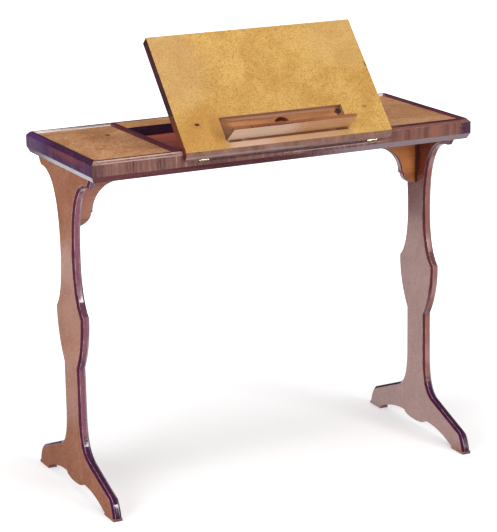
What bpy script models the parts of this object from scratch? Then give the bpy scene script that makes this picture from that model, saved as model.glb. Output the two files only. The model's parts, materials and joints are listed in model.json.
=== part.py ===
"""Writing table: a shallow boxed top with a hinged reading slope, on two shaped end standards.

Metres, +Z up. The origin is on the floor under the middle of the top, +X runs along the
length and the front, where the writer sits, faces -Y. The slope is modelled raised on its prop.
"""

import math

import bmesh
import bpy
from mathutils import Matrix, Vector

# Overall sizes
TABLE_HEIGHT = 0.720
TABLE_LENGTH = 0.8406
TABLE_DEPTH = 0.3522
TOP_THICKNESS = 0.0426

# Clearances
GLUE_GAP = 0.0003
RUN_GAP = 0.0010
PIN_GAP = 0.00015

# Rails of the top
RIM_WIDTH = 0.0146
CHAMFER_WIDTH = 0.0068
CHAMFER_HEIGHT = 0.0072
LIP_WIDTH = 0.0020
BEVEL_WIDTH = 0.0060
BEVEL_HEIGHT = 0.0118
TONGUE_LENGTH = 0.0050
TONGUE_SHARE = 0.28

# Panels, dividers and rear strip
PANEL_DROP = 0.0045
DIVIDER_THICKNESS = 0.0110
STRIP_DEPTH = 0.0603

# Reading slope
SLOPE_WIDTH = 0.4550
SLOPE_THICKNESS = 0.0206
SLOPE_ANGLE = 48.07
SLOPE_FLOOR_GAP = 0.0008

# Book ledge and its recess, measured up the slope
LEDGE_LENGTH = 0.2710
LEDGE_HEIGHT = 0.0515
LEDGE_THICKNESS = 0.0080
LEDGE_START = 0.0246
LEDGE_EDGE_GAP = 0.0007
LEDGE_PIN_RADIUS = 0.0015
LEDGE_PIN_REACH = 0.0090
FINGER_HOLE_RADIUS = 0.0180

# Butt hinges of the slope
HINGE_INSET = 0.0410
HINGE_LENGTH = 0.0225
HINGE_KNUCKLE_RADIUS = 0.0026
HINGE_PIN_RADIUS = 0.0011
LEAF_THICKNESS = 0.0012
LEAF_INSET = 0.0021

# Prop under the slope
PROP_PIVOT_SHARE = 0.4527
PROP_WIDTH = 0.1600
STILE_WIDTH = 0.0140
STILE_THICKNESS = 0.0075
PROP_RAIL_WIDTH = 0.0160
PROP_HEAD_SET = 0.0100
PROP_FOOT_SET = 0.0120
PROP_TENON_LENGTH = 0.0060
PROP_TENON_THICKNESS = 0.0035
PROP_SHOULDER = 0.0040
PROP_PIN_RADIUS = 0.0017
PROP_PIN_SEAT = 0.0120
POCKET_ROOM = 0.0025
POCKET_FRONT_ROOM = 0.0120
POCKET_END_ROOM = 0.0080

# Racks for the prop
RACK_WIDTH = 0.0120
RACK_HEIGHT = 0.0090
RACK_PITCH = 0.0160
RACK_NOTCH_DEPTH = 0.0030
RACK_RAMP_SHARE = 0.8
RACK_NOTCHES_AHEAD = 3
RACK_NOTCHES_BEHIND = 4
RACK_END = 0.0060

# End standards, seen from the end: half widths and heights above the floor
STANDARD_THICKNESS = 0.0195
STANDARD_INSET = 0.0090
STANDARD_CHAMFER = 0.0048
NOSE_INSET = 0.0371
NOSE_HEIGHT = 0.0200
NOSE_RAKE = 0.0150
NECK_HALF = 0.0352
NECK_RISE = 0.4960
SWELL_HALF = 0.0686
SWELL_RISE = 0.3830
SWELL_FOOT_RISE = 0.2690
SHANK_HALF = 0.0374
FLARE_RISE = 0.1700
INSTEP_HALF = 0.0720
INSTEP_RISE = 0.0865
TOE_LENGTH = 0.0220
TOE_TOP_RISE = 0.0455
TOE_OVERHANG = 0.0244
FOOT_JOINT_STEP = 0.0065
ARCH_RISE = 0.0300
ARCH_CROWN = 0.0070
PENDANT_RISE = 0.0195
PAD_LENGTH = 0.0480
PAD_THICKNESS = 0.0055
FOOT_TENON_LENGTH = 0.0140
FOOT_TENON_HEIGHT = 0.0400
FOOT_TENON_RISE = 0.0480
TENON_THICKNESS = 0.0060
TOP_TENON_LENGTH = 0.0400
TOP_TENON_SHARE = 0.55
TOP_TENON_OFFSET = 0.0450

# Pull of each curve's handles, as shares of the curve's width or height
NECK_NOSE_PULL = 0.65
NECK_STEM_PULL = 0.72
SHOULDER_STEM_PULL = 0.52
SHOULDER_EDGE_PULL = (0.62, 0.15)
SWELL_TOP_PULL = (0.07, 0.33)
SWELL_FOOT_PULL = (0.65, 0.27)
FLARE_STEM_PULL = 0.63
FLARE_FOOT_PULL = 0.60
TOE_TOP_PULL = 0.52
TOE_TIP_PULL = (0.14, 0.32)

# Brackets between standards and top
BRACKET_THICKNESS = 0.0190
BRACKET_CHAMFER = 0.0028
BRACKET_CENTRE = 0.0970
BRACKET_ARC = 0.0590
BRACKET_FILLET = 0.0030
BRACKET_OVOLO = 0.0260

# The two ends of the table
SIDES = ((-1, "left"), (1, "right"))

# Facets
CURVE_STEPS = 20
ROUND_SIDES = 20
HOLE_SIDES = 32

# Levels and lines that several pieces share
TOP_UNDERSIDE = TABLE_HEIGHT - TOP_THICKNESS
HINGE_LEVEL = TABLE_HEIGHT - SLOPE_THICKNESS
FLOOR_LEVEL = HINGE_LEVEL - SLOPE_FLOOR_GAP
BASE_THICKNESS = FLOOR_LEVEL - TOP_UNDERSIDE
TONGUE_THICKNESS = TONGUE_SHARE * BASE_THICKNESS
TONGUE_LOW = TOP_UNDERSIDE + TONGUE_THICKNESS
TONGUE_HIGH = TONGUE_LOW + TONGUE_THICKNESS
FRONT_FACE = -TABLE_DEPTH / 2
INNER_HALF_LENGTH = TABLE_LENGTH / 2 - RIM_WIDTH
INNER_HALF_DEPTH = TABLE_DEPTH / 2 - RIM_WIDTH
STRIP_FRONT = INNER_HALF_DEPTH - STRIP_DEPTH
SLOPE_LENGTH = STRIP_FRONT - FRONT_FACE - RUN_GAP
WELL_HALF = SLOPE_WIDTH / 2 + RUN_GAP
STANDARD_OUTER = TABLE_LENGTH / 2 - STANDARD_INSET
STANDARD_INNER = STANDARD_OUTER - STANDARD_THICKNESS
STANDARD_TOP = TOP_UNDERSIDE - GLUE_GAP
SOLE_LEVEL = PAD_THICKNESS + GLUE_GAP
NOSE_HALF = TABLE_DEPTH / 2 - NOSE_INSET
FOOT_HALF = TABLE_DEPTH / 2 + TOE_OVERHANG
BASE_HALF = SHANK_HALF + FOOT_JOINT_STEP
TOP_TENON_HEIGHT = TOP_TENON_SHARE * BASE_THICKNESS
HINGE_OFFSET = SLOPE_WIDTH / 2 - HINGE_INSET
LEAF_DEPTH = RIM_WIDTH - LEAF_INSET
KNUCKLE_CLEAR = HINGE_KNUCKLE_RADIUS + 2 * GLUE_GAP
PROP_PIVOT = PROP_PIVOT_SHARE * SLOPE_LENGTH
PROP_PIVOT_RISE = STILE_THICKNESS / 2
STILE_OFFSET = (PROP_WIDTH - STILE_WIDTH) / 2
POCKET_HALF = PROP_WIDTH / 2 + 2 * GLUE_GAP
POCKET_DEPTH = STILE_THICKNESS + POCKET_ROOM
RACK_CREST = HINGE_LEVEL - GLUE_GAP
RACK_BED = RACK_CREST - RACK_HEIGHT
LEDGE_PIVOT_UP = LEDGE_START + LEDGE_EDGE_GAP + LEDGE_THICKNESS / 2
LEDGE_PIVOT_OUT = SLOPE_THICKNESS - LEDGE_THICKNESS / 2
RECESS_END = LEDGE_START + LEDGE_HEIGHT + 2 * LEDGE_EDGE_GAP
RECESS_HALF = LEDGE_LENGTH / 2 + LEDGE_EDGE_GAP
RECESS_DEPTH = LEDGE_THICKNESS + 2 * GLUE_GAP

# Angles: the slope as raised, the prop folded down from it, and the ledge opened
# past square until it leans on the lower edge of its recess
SLOPE_TURN = math.radians(SLOPE_ANGLE)
PROP_TURN = -2 * SLOPE_TURN
LEDGE_STOP = 1 + 2 * (LEDGE_EDGE_GAP - GLUE_GAP) / LEDGE_THICKNESS
LEDGE_TURN = 2 * math.atan(LEDGE_STOP)

# The prop is as long as its pivot is far from the hinge, so its foot keeps to hinge level
REST_FOOT = FRONT_FACE + 2 * (
    PROP_PIVOT * math.cos(SLOPE_TURN) - PROP_PIVOT_RISE * math.sin(SLOPE_TURN)
)

# Finishes: colour, roughness, metallic
GOLDEN_VENEER = ((0.50, 0.27, 0.075, 1.0), 0.30, 0.0)
DARK_ROSEWOOD = ((0.075, 0.022, 0.020, 1.0), 0.25, 0.0)
RED_MAHOGANY = ((0.22, 0.060, 0.030, 1.0), 0.32, 0.0)
BROWN_VENEER = ((0.30, 0.125, 0.055, 1.0), 0.30, 0.0)
BRASS = ((0.72, 0.53, 0.24, 1.0), 0.30, 1.0)


def clear_scene():
    """Take out whatever the scene holds."""
    for obj in list(bpy.data.objects):
        bpy.data.objects.remove(obj)


def finish_material(name, finish):
    """A Principled material for one piece."""
    colour, roughness, metallic = finish
    material = bpy.data.materials.new(name)
    material.use_nodes = True
    shader = material.node_tree.nodes["Principled BSDF"]
    shader.inputs["Base Color"].default_value = colour
    shader.inputs["Roughness"].default_value = roughness
    shader.inputs["Metallic"].default_value = metallic
    return material


def add_object(name, bm, finish=None, parent=None):
    """Put a bmesh into the scene under this name; without a finish it is a cutter."""
    bmesh.ops.recalc_face_normals(bm, faces=bm.faces)
    mesh = bpy.data.meshes.new(name)
    bm.to_mesh(mesh)
    bm.free()
    obj = bpy.data.objects.new(name, mesh)
    bpy.context.scene.collection.objects.link(obj)
    obj.parent = parent
    if finish is None:
        obj.hide_render = True
        obj.display_type = "WIRE"
    else:
        mesh.materials.append(finish_material(name, finish))
    return obj


def combine(target, tool, operation):
    """Join, cut or keep the common part of an object and a tool."""
    modifier = target.modifiers.new(tool.name, "BOOLEAN")
    modifier.operation = operation
    modifier.object = tool


def axis_empty(name, location, angle, parent=None):
    """An empty on a joint's axis, turned about X."""
    empty = bpy.data.objects.new(name, None)
    bpy.context.scene.collection.objects.link(empty)
    empty.parent = parent
    empty.location = location
    empty.rotation_euler = (angle, 0.0, 0.0)
    return empty


def box_mesh(low, high):
    """A box between two corners."""
    bm = bmesh.new()
    bmesh.ops.create_cube(bm, size=1.0)
    low, high = Vector(low), Vector(high)
    size = high - low
    bmesh.ops.scale(bm, vec=size, verts=bm.verts)
    bmesh.ops.translate(bm, vec=(low + high) / 2, verts=bm.verts)
    return bm


def rod_mesh(low, high, radius, point=(0.0, 0.0)):
    """A round rod along X from low to high, through a (y, z) point."""
    bm = bmesh.new()
    bmesh.ops.create_cone(
        bm, cap_ends=True, segments=ROUND_SIDES, radius1=radius, radius2=radius, depth=high - low
    )
    bmesh.ops.rotate(bm, matrix=Matrix.Rotation(math.pi / 2, 3, "Y"), verts=bm.verts)
    bmesh.ops.translate(bm, vec=((low + high) / 2, *point), verts=bm.verts)
    return bm


def prism_mesh(outline, low, high, place):
    """An outline of (a, b) points carried from low to high; place turns (a, b, c) into a point."""
    bm = bmesh.new()
    near = [bm.verts.new(place(a, b, low)) for a, b in outline]
    far = [bm.verts.new(place(a, b, high)) for a, b in outline]
    bm.faces.new(near)
    bm.faces.new(far)
    for i in range(len(outline)):
        j = (i + 1) % len(outline)
        bm.faces.new((near[i], near[j], far[j], far[i]))
    bmesh.ops.recalc_face_normals(bm, faces=bm.faces)
    return bm


def chamfer_rims(bm, count, soft, width):
    """Chamfer both rims of a prism along the outline's sides that are marked soft."""
    bm.verts.ensure_lookup_table()
    edges = []
    for base in (0, count):
        for i in range(count):
            if soft[i]:
                ends = (bm.verts[base + i], bm.verts[base + (i + 1) % count])
                edges.append(bm.edges.get(ends))
    bmesh.ops.bevel(
        bm,
        geom=edges,
        offset=width,
        offset_type="OFFSET",
        segments=1,
        profile=0.5,
        affect="EDGES",
        clamp_overlap=False,
    )


def on_end(a, b, c):
    """Outline in the Y-Z plane, carried along X."""
    return (c, a, b)


def on_front(a, b, c):
    """Outline in the X-Z plane, carried along Y."""
    return (a, c, b)


def between(start, end, share):
    """The value a share of the way from start to end."""
    return start + share * (end - start)


def pulled(start, end, shares):
    """A point moved from start towards end by its own share along each axis."""
    return tuple(between(s, e, share) for s, e, share in zip(start, end, shares))


def bezier(start, start_pull, end_pull, end):
    """Points of a cubic curve, without its start."""
    points = []
    for step in range(1, CURVE_STEPS + 1):
        t = step / CURVE_STEPS
        weights = ((1 - t) ** 3, 3 * t * (1 - t) ** 2, 3 * t * t * (1 - t), t**3)
        corners = (start, start_pull, end_pull, end)
        points.append(tuple(sum(w * p[k] for w, p in zip(weights, corners)) for k in (0, 1)))
    return points


def bowed(start, end, rise):
    """Points of a shallow bow from start to end, without its start, that rises so far in the middle."""
    points = []
    for step in range(1, CURVE_STEPS + 1):
        t = step / CURVE_STEPS
        lift = 4 * rise * t * (1 - t)
        points.append((start[0] + t * (end[0] - start[0]), start[1] + t * (end[1] - start[1]) + lift))
    return points


def quarter(centre, across, up, first, last):
    """Points of part of an ellipse between two angles in degrees, without its first."""
    points = []
    steps = CURVE_STEPS // 2
    for step in range(1, steps + 1):
        angle = math.radians(first + (last - first) * step / steps)
        points.append((centre[0] + across * math.cos(angle), centre[1] + up * math.sin(angle)))
    return points


def rail_section():
    """Section of a rail as (distance in from the outer face, height), with its lip and its groove."""
    groove_low = TONGUE_LOW - GLUE_GAP
    groove_high = TONGUE_HIGH + GLUE_GAP
    groove_end = RIM_WIDTH - TONGUE_LENGTH - GLUE_GAP
    return [
        (0.0, TOP_UNDERSIDE + BEVEL_HEIGHT),
        (0.0, TABLE_HEIGHT - CHAMFER_HEIGHT),
        (CHAMFER_WIDTH, TABLE_HEIGHT),
        (RIM_WIDTH - LIP_WIDTH, TABLE_HEIGHT),
        (RIM_WIDTH, TABLE_HEIGHT - PANEL_DROP),
        (RIM_WIDTH, groove_high),
        (groove_end, groove_high),
        (groove_end, groove_low),
        (RIM_WIDTH, groove_low),
        (RIM_WIDTH, TOP_UNDERSIDE),
        (BEVEL_WIDTH, TOP_UNDERSIDE),
    ]


def mitred_rail(name, half_length, place):
    """A rail with mitred ends; place turns (distance along, distance in, height) into a point."""
    bm = bmesh.new()
    ends = []
    for side in (-1, 1):
        reach = half_length - GLUE_GAP
        ends.append([bm.verts.new(place(side * (reach - d), d, z)) for d, z in rail_section()])
    count = len(ends[0])
    for loop in ends:
        bm.faces.new(loop)
    for i in range(count):
        j = (i + 1) % count
        bm.faces.new((ends[0][i], ends[0][j], ends[1][j], ends[1][i]))
    return add_object(name, bm, DARK_ROSEWOOD)


def make_rails():
    """The four mitred rails; the front one is cut down where the slope's front edge lies."""
    half_length, half_depth = TABLE_LENGTH / 2, TABLE_DEPTH / 2
    front = mitred_rail("front_rail", half_length, lambda s, d, z: (s, -half_depth + d, z))
    mitred_rail("rear_rail", half_length, lambda s, d, z: (s, half_depth - d, z))
    mitred_rail("left_end_rail", half_depth, lambda s, d, z: (-half_length + d, s, z))
    mitred_rail("right_end_rail", half_depth, lambda s, d, z: (half_length - d, s, z))
    opening = box_mesh(
        (-WELL_HALF, FRONT_FACE - RIM_WIDTH, FLOOR_LEVEL),
        (WELL_HALF, FRONT_FACE + 2 * RIM_WIDTH, TABLE_HEIGHT + RIM_WIDTH),
    )
    combine(front, add_object("slope_seat_cut", opening), "DIFFERENCE")
    return front


def make_base_board():
    """The floor of the well: a board with a tongue all round that sits in the rails' grooves."""
    half_x = INNER_HALF_LENGTH - GLUE_GAP
    half_y = INNER_HALF_DEPTH - GLUE_GAP
    board = box_mesh((-half_x, -half_y, TOP_UNDERSIDE), (half_x, half_y, FLOOR_LEVEL))
    base = add_object("base_board", board, RED_MAHOGANY)
    reach_x = half_x + TONGUE_LENGTH
    reach_y = half_y + TONGUE_LENGTH
    tongue = box_mesh((-reach_x, -reach_y, TONGUE_LOW), (reach_x, reach_y, TONGUE_HIGH))
    combine(base, add_object("base_tongue", tongue), "UNION")
    return base


def make_top_fittings():
    """Dividers, end panels and the rear strip, standing on the base board."""
    seat = FLOOR_LEVEL + GLUE_GAP
    reach = INNER_HALF_DEPTH - GLUE_GAP
    panel_inner = WELL_HALF + DIVIDER_THICKNESS + GLUE_GAP
    panel_outer = INNER_HALF_LENGTH - GLUE_GAP
    for side, word in SIDES:
        spans = {
            "divider": (WELL_HALF, WELL_HALF + DIVIDER_THICKNESS, TABLE_HEIGHT, DARK_ROSEWOOD),
            "end_panel": (panel_inner, panel_outer, TABLE_HEIGHT - PANEL_DROP, GOLDEN_VENEER),
        }
        for kind, (inner, outer, top, finish) in spans.items():
            low, high = sorted((side * inner, side * outer))
            bm = box_mesh((low, -reach, seat), (high, reach, top))
            add_object(f"{word}_{kind}", bm, finish)
    half = WELL_HALF - GLUE_GAP
    strip = box_mesh((-half, STRIP_FRONT, seat), (half, reach, TABLE_HEIGHT))
    add_object("rear_strip", strip, GOLDEN_VENEER)


def rack_outline():
    """Side view of a rack as (y, z): notches with an upright rear stop and a long front ramp."""
    first = REST_FOOT - RACK_NOTCHES_AHEAD * RACK_PITCH
    count = RACK_NOTCHES_AHEAD + RACK_NOTCHES_BEHIND + 1
    start = first - RACK_PITCH - RACK_END
    end = first + (count - 1) * RACK_PITCH + RACK_END
    points = [(start, RACK_BED), (start, RACK_CREST)]
    for index in range(count):
        stop = first + index * RACK_PITCH + GLUE_GAP
        points.append((stop - RACK_RAMP_SHARE * RACK_PITCH, RACK_CREST))
        points.append((stop, RACK_CREST - RACK_NOTCH_DEPTH))
        points.append((stop, RACK_CREST))
    return points + [(end, RACK_CREST), (end, RACK_BED)]


def make_racks(base):
    """Two notched racks let into the floor under the prop's stiles."""
    outline = rack_outline()
    half = RACK_WIDTH / 2
    for side, word in SIDES:
        centre = side * STILE_OFFSET
        bm = prism_mesh(outline, centre - half, centre + half, on_end)
        add_object(f"{word}_rack", bm, RED_MAHOGANY)
        pocket = box_mesh(
            (centre - half - GLUE_GAP, outline[0][0] - GLUE_GAP, RACK_BED - GLUE_GAP),
            (centre + half + GLUE_GAP, outline[-1][0] + GLUE_GAP, TABLE_HEIGHT),
        )
        combine(base, add_object(f"{word}_rack_cut", pocket), "DIFFERENCE")


def standard_half():
    """Half of a standard's outline, from its nose down to the pendant, as runs of (points, soft)."""
    nose_tip = (NOSE_HALF - NOSE_RAKE, STANDARD_TOP - NOSE_HEIGHT)
    neck = (NECK_HALF, NECK_RISE)
    shoulder = (SWELL_HALF, SWELL_RISE)
    waist = (SHANK_HALF, SWELL_FOOT_RISE)
    flare = (SHANK_HALF, FLARE_RISE)
    instep = (INSTEP_HALF, INSTEP_RISE)
    toe_top = (FOOT_HALF - TOE_LENGTH, TOE_TOP_RISE)
    toe = (FOOT_HALF, SOLE_LEVEL)
    heel = (FOOT_HALF - PAD_LENGTH, SOLE_LEVEL)
    arch = (BASE_HALF, ARCH_RISE)
    fall = (toe_top[1] - instep[1]) / (toe_top[0] - instep[0])
    splay = FLARE_FOOT_PULL * (instep[0] - flare[0])
    tip_run = TOE_TOP_PULL * TOE_LENGTH
    curves = [
        bezier(
            nose_tip,
            (between(nose_tip[0], neck[0], NECK_NOSE_PULL), nose_tip[1]),
            (neck[0], between(neck[1], nose_tip[1], NECK_STEM_PULL)),
            neck,
        ),
        bezier(
            neck,
            (neck[0], between(neck[1], shoulder[1], SHOULDER_STEM_PULL)),
            pulled(shoulder, neck, SHOULDER_EDGE_PULL),
            shoulder,
        ),
        bezier(
            shoulder,
            pulled(shoulder, (2 * shoulder[0] - waist[0], waist[1]), SWELL_TOP_PULL),
            pulled(waist, shoulder, SWELL_FOOT_PULL),
            waist,
        ),
        [flare],
        bezier(
            flare,
            (flare[0], between(flare[1], instep[1], FLARE_STEM_PULL)),
            (instep[0] - splay, instep[1] - splay * fall),
            instep,
        ),
        [toe_top],
        bezier(
            toe_top,
            (toe_top[0] + tip_run, toe_top[1] + tip_run * fall),
            pulled(toe, toe_top, TOE_TIP_PULL),
            toe,
        ),
    ]
    runs = [([(NOSE_HALF, STANDARD_TOP)], False), ([nose_tip], True)]
    runs += [(points, True) for points in curves]
    runs.append(([heel], False))
    runs.append((bowed(heel, arch, ARCH_CROWN), False))
    pendant_drop = ARCH_RISE - PENDANT_RISE
    runs.append((quarter((0.0, ARCH_RISE), BASE_HALF, -pendant_drop, 0.0, 90.0), False))
    return runs


def standard_outline():
    """The closed outline of a standard as (y, z) points, and whether the side after each is soft."""
    right, soft = [], []
    for points, is_soft in standard_half():
        for point in points:
            right.append(point)
            soft.append(is_soft)
    left = [(-y, z) for y, z in reversed(right[:-1])]
    sides = soft[1:] + list(reversed(soft[1:])) + [False]
    return right + left, sides


def standard_blank(name, low, high):
    """The standard as one chamfered board, from which upright and feet are parted."""
    outline, soft = standard_outline()
    bm = prism_mesh(outline, low, high, on_end)
    chamfer_rims(bm, len(outline), soft, STANDARD_CHAMFER)
    return bm


def tenon_box(centre_x, thickness, low, high):
    """A tenon, given its thickness across X and its Y-Z corners."""
    return box_mesh(
        (centre_x - thickness / 2, low[0], low[1]), (centre_x + thickness / 2, high[0], high[1])
    )


def make_standard(word, side, base):
    """One end standard: an upright tenoned into the top, two feet tenoned into it, and their pads."""
    low, high = sorted((side * STANDARD_INNER, side * STANDARD_OUTER))
    middle = (low + high) / 2
    reach = 2 * FOOT_HALF
    upright = add_object(f"{word}_upright", standard_blank("upright", low, high), BROWN_VENEER)
    keep = box_mesh((low - reach, -BASE_HALF, -reach), (high + reach, BASE_HALF, TABLE_HEIGHT))
    head = box_mesh(
        (low - reach, -NOSE_HALF - reach, FLARE_RISE), (high + reach, NOSE_HALF + reach, TABLE_HEIGHT)
    )
    trunk = add_object(f"{word}_trunk", keep)
    combine(trunk, add_object(f"{word}_head", head), "UNION")
    combine(upright, trunk, "INTERSECT")
    for front, end in ((-1, "front"), (1, "rear")):
        make_foot(word, end, front, upright, low, high, middle)
    tenon_x = side * (STANDARD_INNER + (INNER_HALF_LENGTH - STANDARD_INNER) / 2)
    for front in (-1, 1):
        centre = front * TOP_TENON_OFFSET
        start, end = centre - TOP_TENON_LENGTH / 2, centre + TOP_TENON_LENGTH / 2
        root = STANDARD_TOP - GLUE_GAP
        tip = TOP_UNDERSIDE + TOP_TENON_HEIGHT
        tenon = tenon_box(tenon_x, TENON_THICKNESS, (start, root), (end, tip))
        mortise = tenon_box(
            tenon_x,
            TENON_THICKNESS + 2 * GLUE_GAP,
            (start - GLUE_GAP, TOP_UNDERSIDE - RIM_WIDTH),
            (end + GLUE_GAP, tip + GLUE_GAP),
        )
        combine(upright, add_object(f"{word}_top_tenon_{front}", tenon), "UNION")
        combine(base, add_object(f"{word}_top_mortise_{front}", mortise), "DIFFERENCE")


def make_foot(word, end, front, upright, low, high, middle):
    """A foot, its tenon into the upright, and the pad under its toe."""
    reach = 2 * FOOT_HALF
    foot = add_object(f"{word}_{end}_foot", standard_blank("foot", low, high), BROWN_VENEER)
    inner, outer = sorted((front * (BASE_HALF + GLUE_GAP), front * reach))
    keep = box_mesh((low - reach, inner, -reach), (high + reach, outer, FLARE_RISE))
    combine(foot, add_object(f"{word}_{end}_foot_keep", keep), "INTERSECT")
    tip = BASE_HALF - FOOT_TENON_LENGTH
    root = BASE_HALF + 2 * GLUE_GAP
    start, stop = sorted((front * tip, front * root))
    top = FOOT_TENON_RISE + FOOT_TENON_HEIGHT
    tenon = tenon_box(middle, TENON_THICKNESS, (start, FOOT_TENON_RISE), (stop, top))
    combine(foot, add_object(f"{word}_{end}_tenon", tenon), "UNION")
    mortise_start, mortise_stop = sorted((front * (tip - GLUE_GAP), front * reach))
    mortise = tenon_box(
        middle,
        TENON_THICKNESS + 2 * GLUE_GAP,
        (mortise_start, FOOT_TENON_RISE - GLUE_GAP),
        (mortise_stop, top + GLUE_GAP),
    )
    combine(upright, add_object(f"{word}_{end}_mortise", mortise), "DIFFERENCE")
    pad_inner, pad_outer = sorted((front * (FOOT_HALF - PAD_LENGTH), front * FOOT_HALF))
    pad = box_mesh((low, pad_inner, 0.0), (high, pad_outer, PAD_THICKNESS))
    add_object(f"{word}_{end}_pad", pad, DARK_ROSEWOOD)


def bracket_outline():
    """A quadrant bracket as (distance from the standard, drop below the top) and its soft sides."""
    leg = BRACKET_CENTRE + BRACKET_OVOLO
    tip = BRACKET_CENTRE - BRACKET_ARC - BRACKET_FILLET
    lower = [(0.0, leg)]
    lower += quarter((0.0, BRACKET_CENTRE), tip, BRACKET_OVOLO, 90.0, 0.0)
    lower.append((tip + BRACKET_FILLET, BRACKET_CENTRE))
    centre = (BRACKET_CENTRE, BRACKET_CENTRE)
    arc = quarter(centre, BRACKET_ARC, BRACKET_ARC, 180.0, 225.0)
    upper = [(b, a) for a, b in reversed(lower + arc[:-1])]
    points = [(0.0, 0.0)] + lower + arc + upper
    soft = [False] + [True] * (len(points) - 2) + [False]
    return points, soft


def make_bracket(word, side):
    """A curved bracket in the corner between a standard and the top."""
    outline, soft = bracket_outline()
    face = STANDARD_INNER - GLUE_GAP
    half = BRACKET_THICKNESS / 2
    placed = [(side * (face - a), TOP_UNDERSIDE - GLUE_GAP - b) for a, b in outline]
    bm = prism_mesh(placed, -half, half, on_front)
    chamfer_rims(bm, len(placed), soft, BRACKET_CHAMFER)
    add_object(f"{word}_bracket", bm, BROWN_VENEER)


def make_slope(axis):
    """The slope board in its own frame: Y runs up the slope from the hinge axis, Z out of its face."""
    top = SLOPE_THICKNESS
    profile = [
        (0.0, 0.0),
        (0.0, top - CHAMFER_HEIGHT),
        (CHAMFER_WIDTH, top),
        (SLOPE_LENGTH, top),
        (SLOPE_LENGTH, 0.0),
    ]
    bm = prism_mesh(profile, -SLOPE_WIDTH / 2, SLOPE_WIDTH / 2, on_end)
    slope = add_object("slope_board", bm, GOLDEN_VENEER, axis)
    recess = box_mesh(
        (-RECESS_HALF, LEDGE_START, top - RECESS_DEPTH), (RECESS_HALF, RECESS_END, 2 * top)
    )
    combine(slope, add_object("ledge_recess_cut", recess, None, axis), "DIFFERENCE")
    pocket = box_mesh(
        (-POCKET_HALF, PROP_PIVOT - POCKET_FRONT_ROOM, -top),
        (POCKET_HALF, 2 * PROP_PIVOT + POCKET_END_ROOM, POCKET_DEPTH),
    )
    combine(slope, add_object("prop_pocket_cut", pocket, None, axis), "DIFFERENCE")
    hole = bmesh.new()
    bmesh.ops.create_cone(
        hole,
        cap_ends=True,
        segments=HOLE_SIDES,
        radius1=FINGER_HOLE_RADIUS,
        radius2=FINGER_HOLE_RADIUS,
        depth=4 * top,
    )
    middle = (LEDGE_START + RECESS_END) / 2
    bmesh.ops.translate(hole, vec=(0.0, middle, 0.0), verts=hole.verts)
    combine(slope, add_object("finger_hole_cut", hole, None, axis), "DIFFERENCE")
    return slope


def pivot_pins(kind, slope, axis, point, radius, start, seat):
    """A pair of pins along X, from start out into blind bores of the slope that end at seat."""
    for side, word in SIDES:
        low, high = sorted((side * start, side * seat))
        pin = rod_mesh(low, high, radius, point)
        add_object(f"{word}_{kind}_pin", pin, BRASS, axis)
        low, high = sorted((side * start, side * (seat + GLUE_GAP)))
        bore = rod_mesh(low, high, radius + PIN_GAP, point)
        combine(slope, add_object(f"{word}_{kind}_seat_cut", bore, None, axis), "DIFFERENCE")


def rounded_bar(reach, thickness):
    """Side view of a bar along Y whose near end is rounded about the origin."""
    half = thickness / 2
    outline = [(0.0, -half), (reach, -half), (reach, half), (0.0, half)]
    return outline + quarter((0.0, 0.0), half, half, 90.0, 270.0)[:-1]


def make_ledge(slope, slope_axis):
    """The book ledge, folded out about its pins, in a frame whose origin is the pins' axis."""
    point = (LEDGE_PIVOT_UP, LEDGE_PIVOT_OUT)
    axis = axis_empty("ledge_axis", (0.0, *point), LEDGE_TURN, slope_axis)
    outline = rounded_bar(LEDGE_HEIGHT - LEDGE_THICKNESS / 2, LEDGE_THICKNESS)
    bm = prism_mesh(outline, -LEDGE_LENGTH / 2, LEDGE_LENGTH / 2, on_end)
    ledge = add_object("book_ledge", bm, GOLDEN_VENEER, axis)
    start = LEDGE_LENGTH / 2 - LEDGE_PIN_REACH
    seat = RECESS_HALF + LEDGE_PIN_REACH
    pivot_pins("ledge", slope, slope_axis, point, LEDGE_PIN_RADIUS, start, seat)
    for side, word in SIDES:
        low, high = sorted((side * (start - GLUE_GAP), side * seat))
        bore = rod_mesh(low, high, LEDGE_PIN_RADIUS + PIN_GAP)
        combine(ledge, add_object(f"{word}_ledge_bore_cut", bore, None, axis), "DIFFERENCE")


def make_prop(slope, slope_axis):
    """The prop: two stiles and two rails, swung down on pins in the slope's pocket."""
    point = (PROP_PIVOT, PROP_PIVOT_RISE)
    axis = axis_empty("prop_axis", (0.0, *point), PROP_TURN, slope_axis)
    inner, outer = PROP_WIDTH / 2 - STILE_WIDTH, PROP_WIDTH / 2
    seat = POCKET_HALF + PROP_PIN_SEAT
    pivot_pins("prop", slope, slope_axis, point, PROP_PIN_RADIUS, inner + GLUE_GAP, seat)
    outline = rounded_bar(PROP_PIVOT, STILE_THICKNESS)
    stiles = []
    for side, word in SIDES:
        low, high = sorted((side * inner, side * outer))
        bm = prism_mesh(outline, low, high, on_end)
        stile = add_object(f"prop_{word}_stile", bm, RED_MAHOGANY, axis)
        bore = rod_mesh(low - GLUE_GAP, high + GLUE_GAP, PROP_PIN_RADIUS + PIN_GAP)
        combine(stile, add_object(f"prop_{word}_bore_cut", bore, None, axis), "DIFFERENCE")
        stiles.append(stile)
    make_prop_rail("head", PROP_HEAD_SET, stiles, axis)
    make_prop_rail("foot", PROP_PIVOT - PROP_FOOT_SET - PROP_RAIL_WIDTH, stiles, axis)


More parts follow.
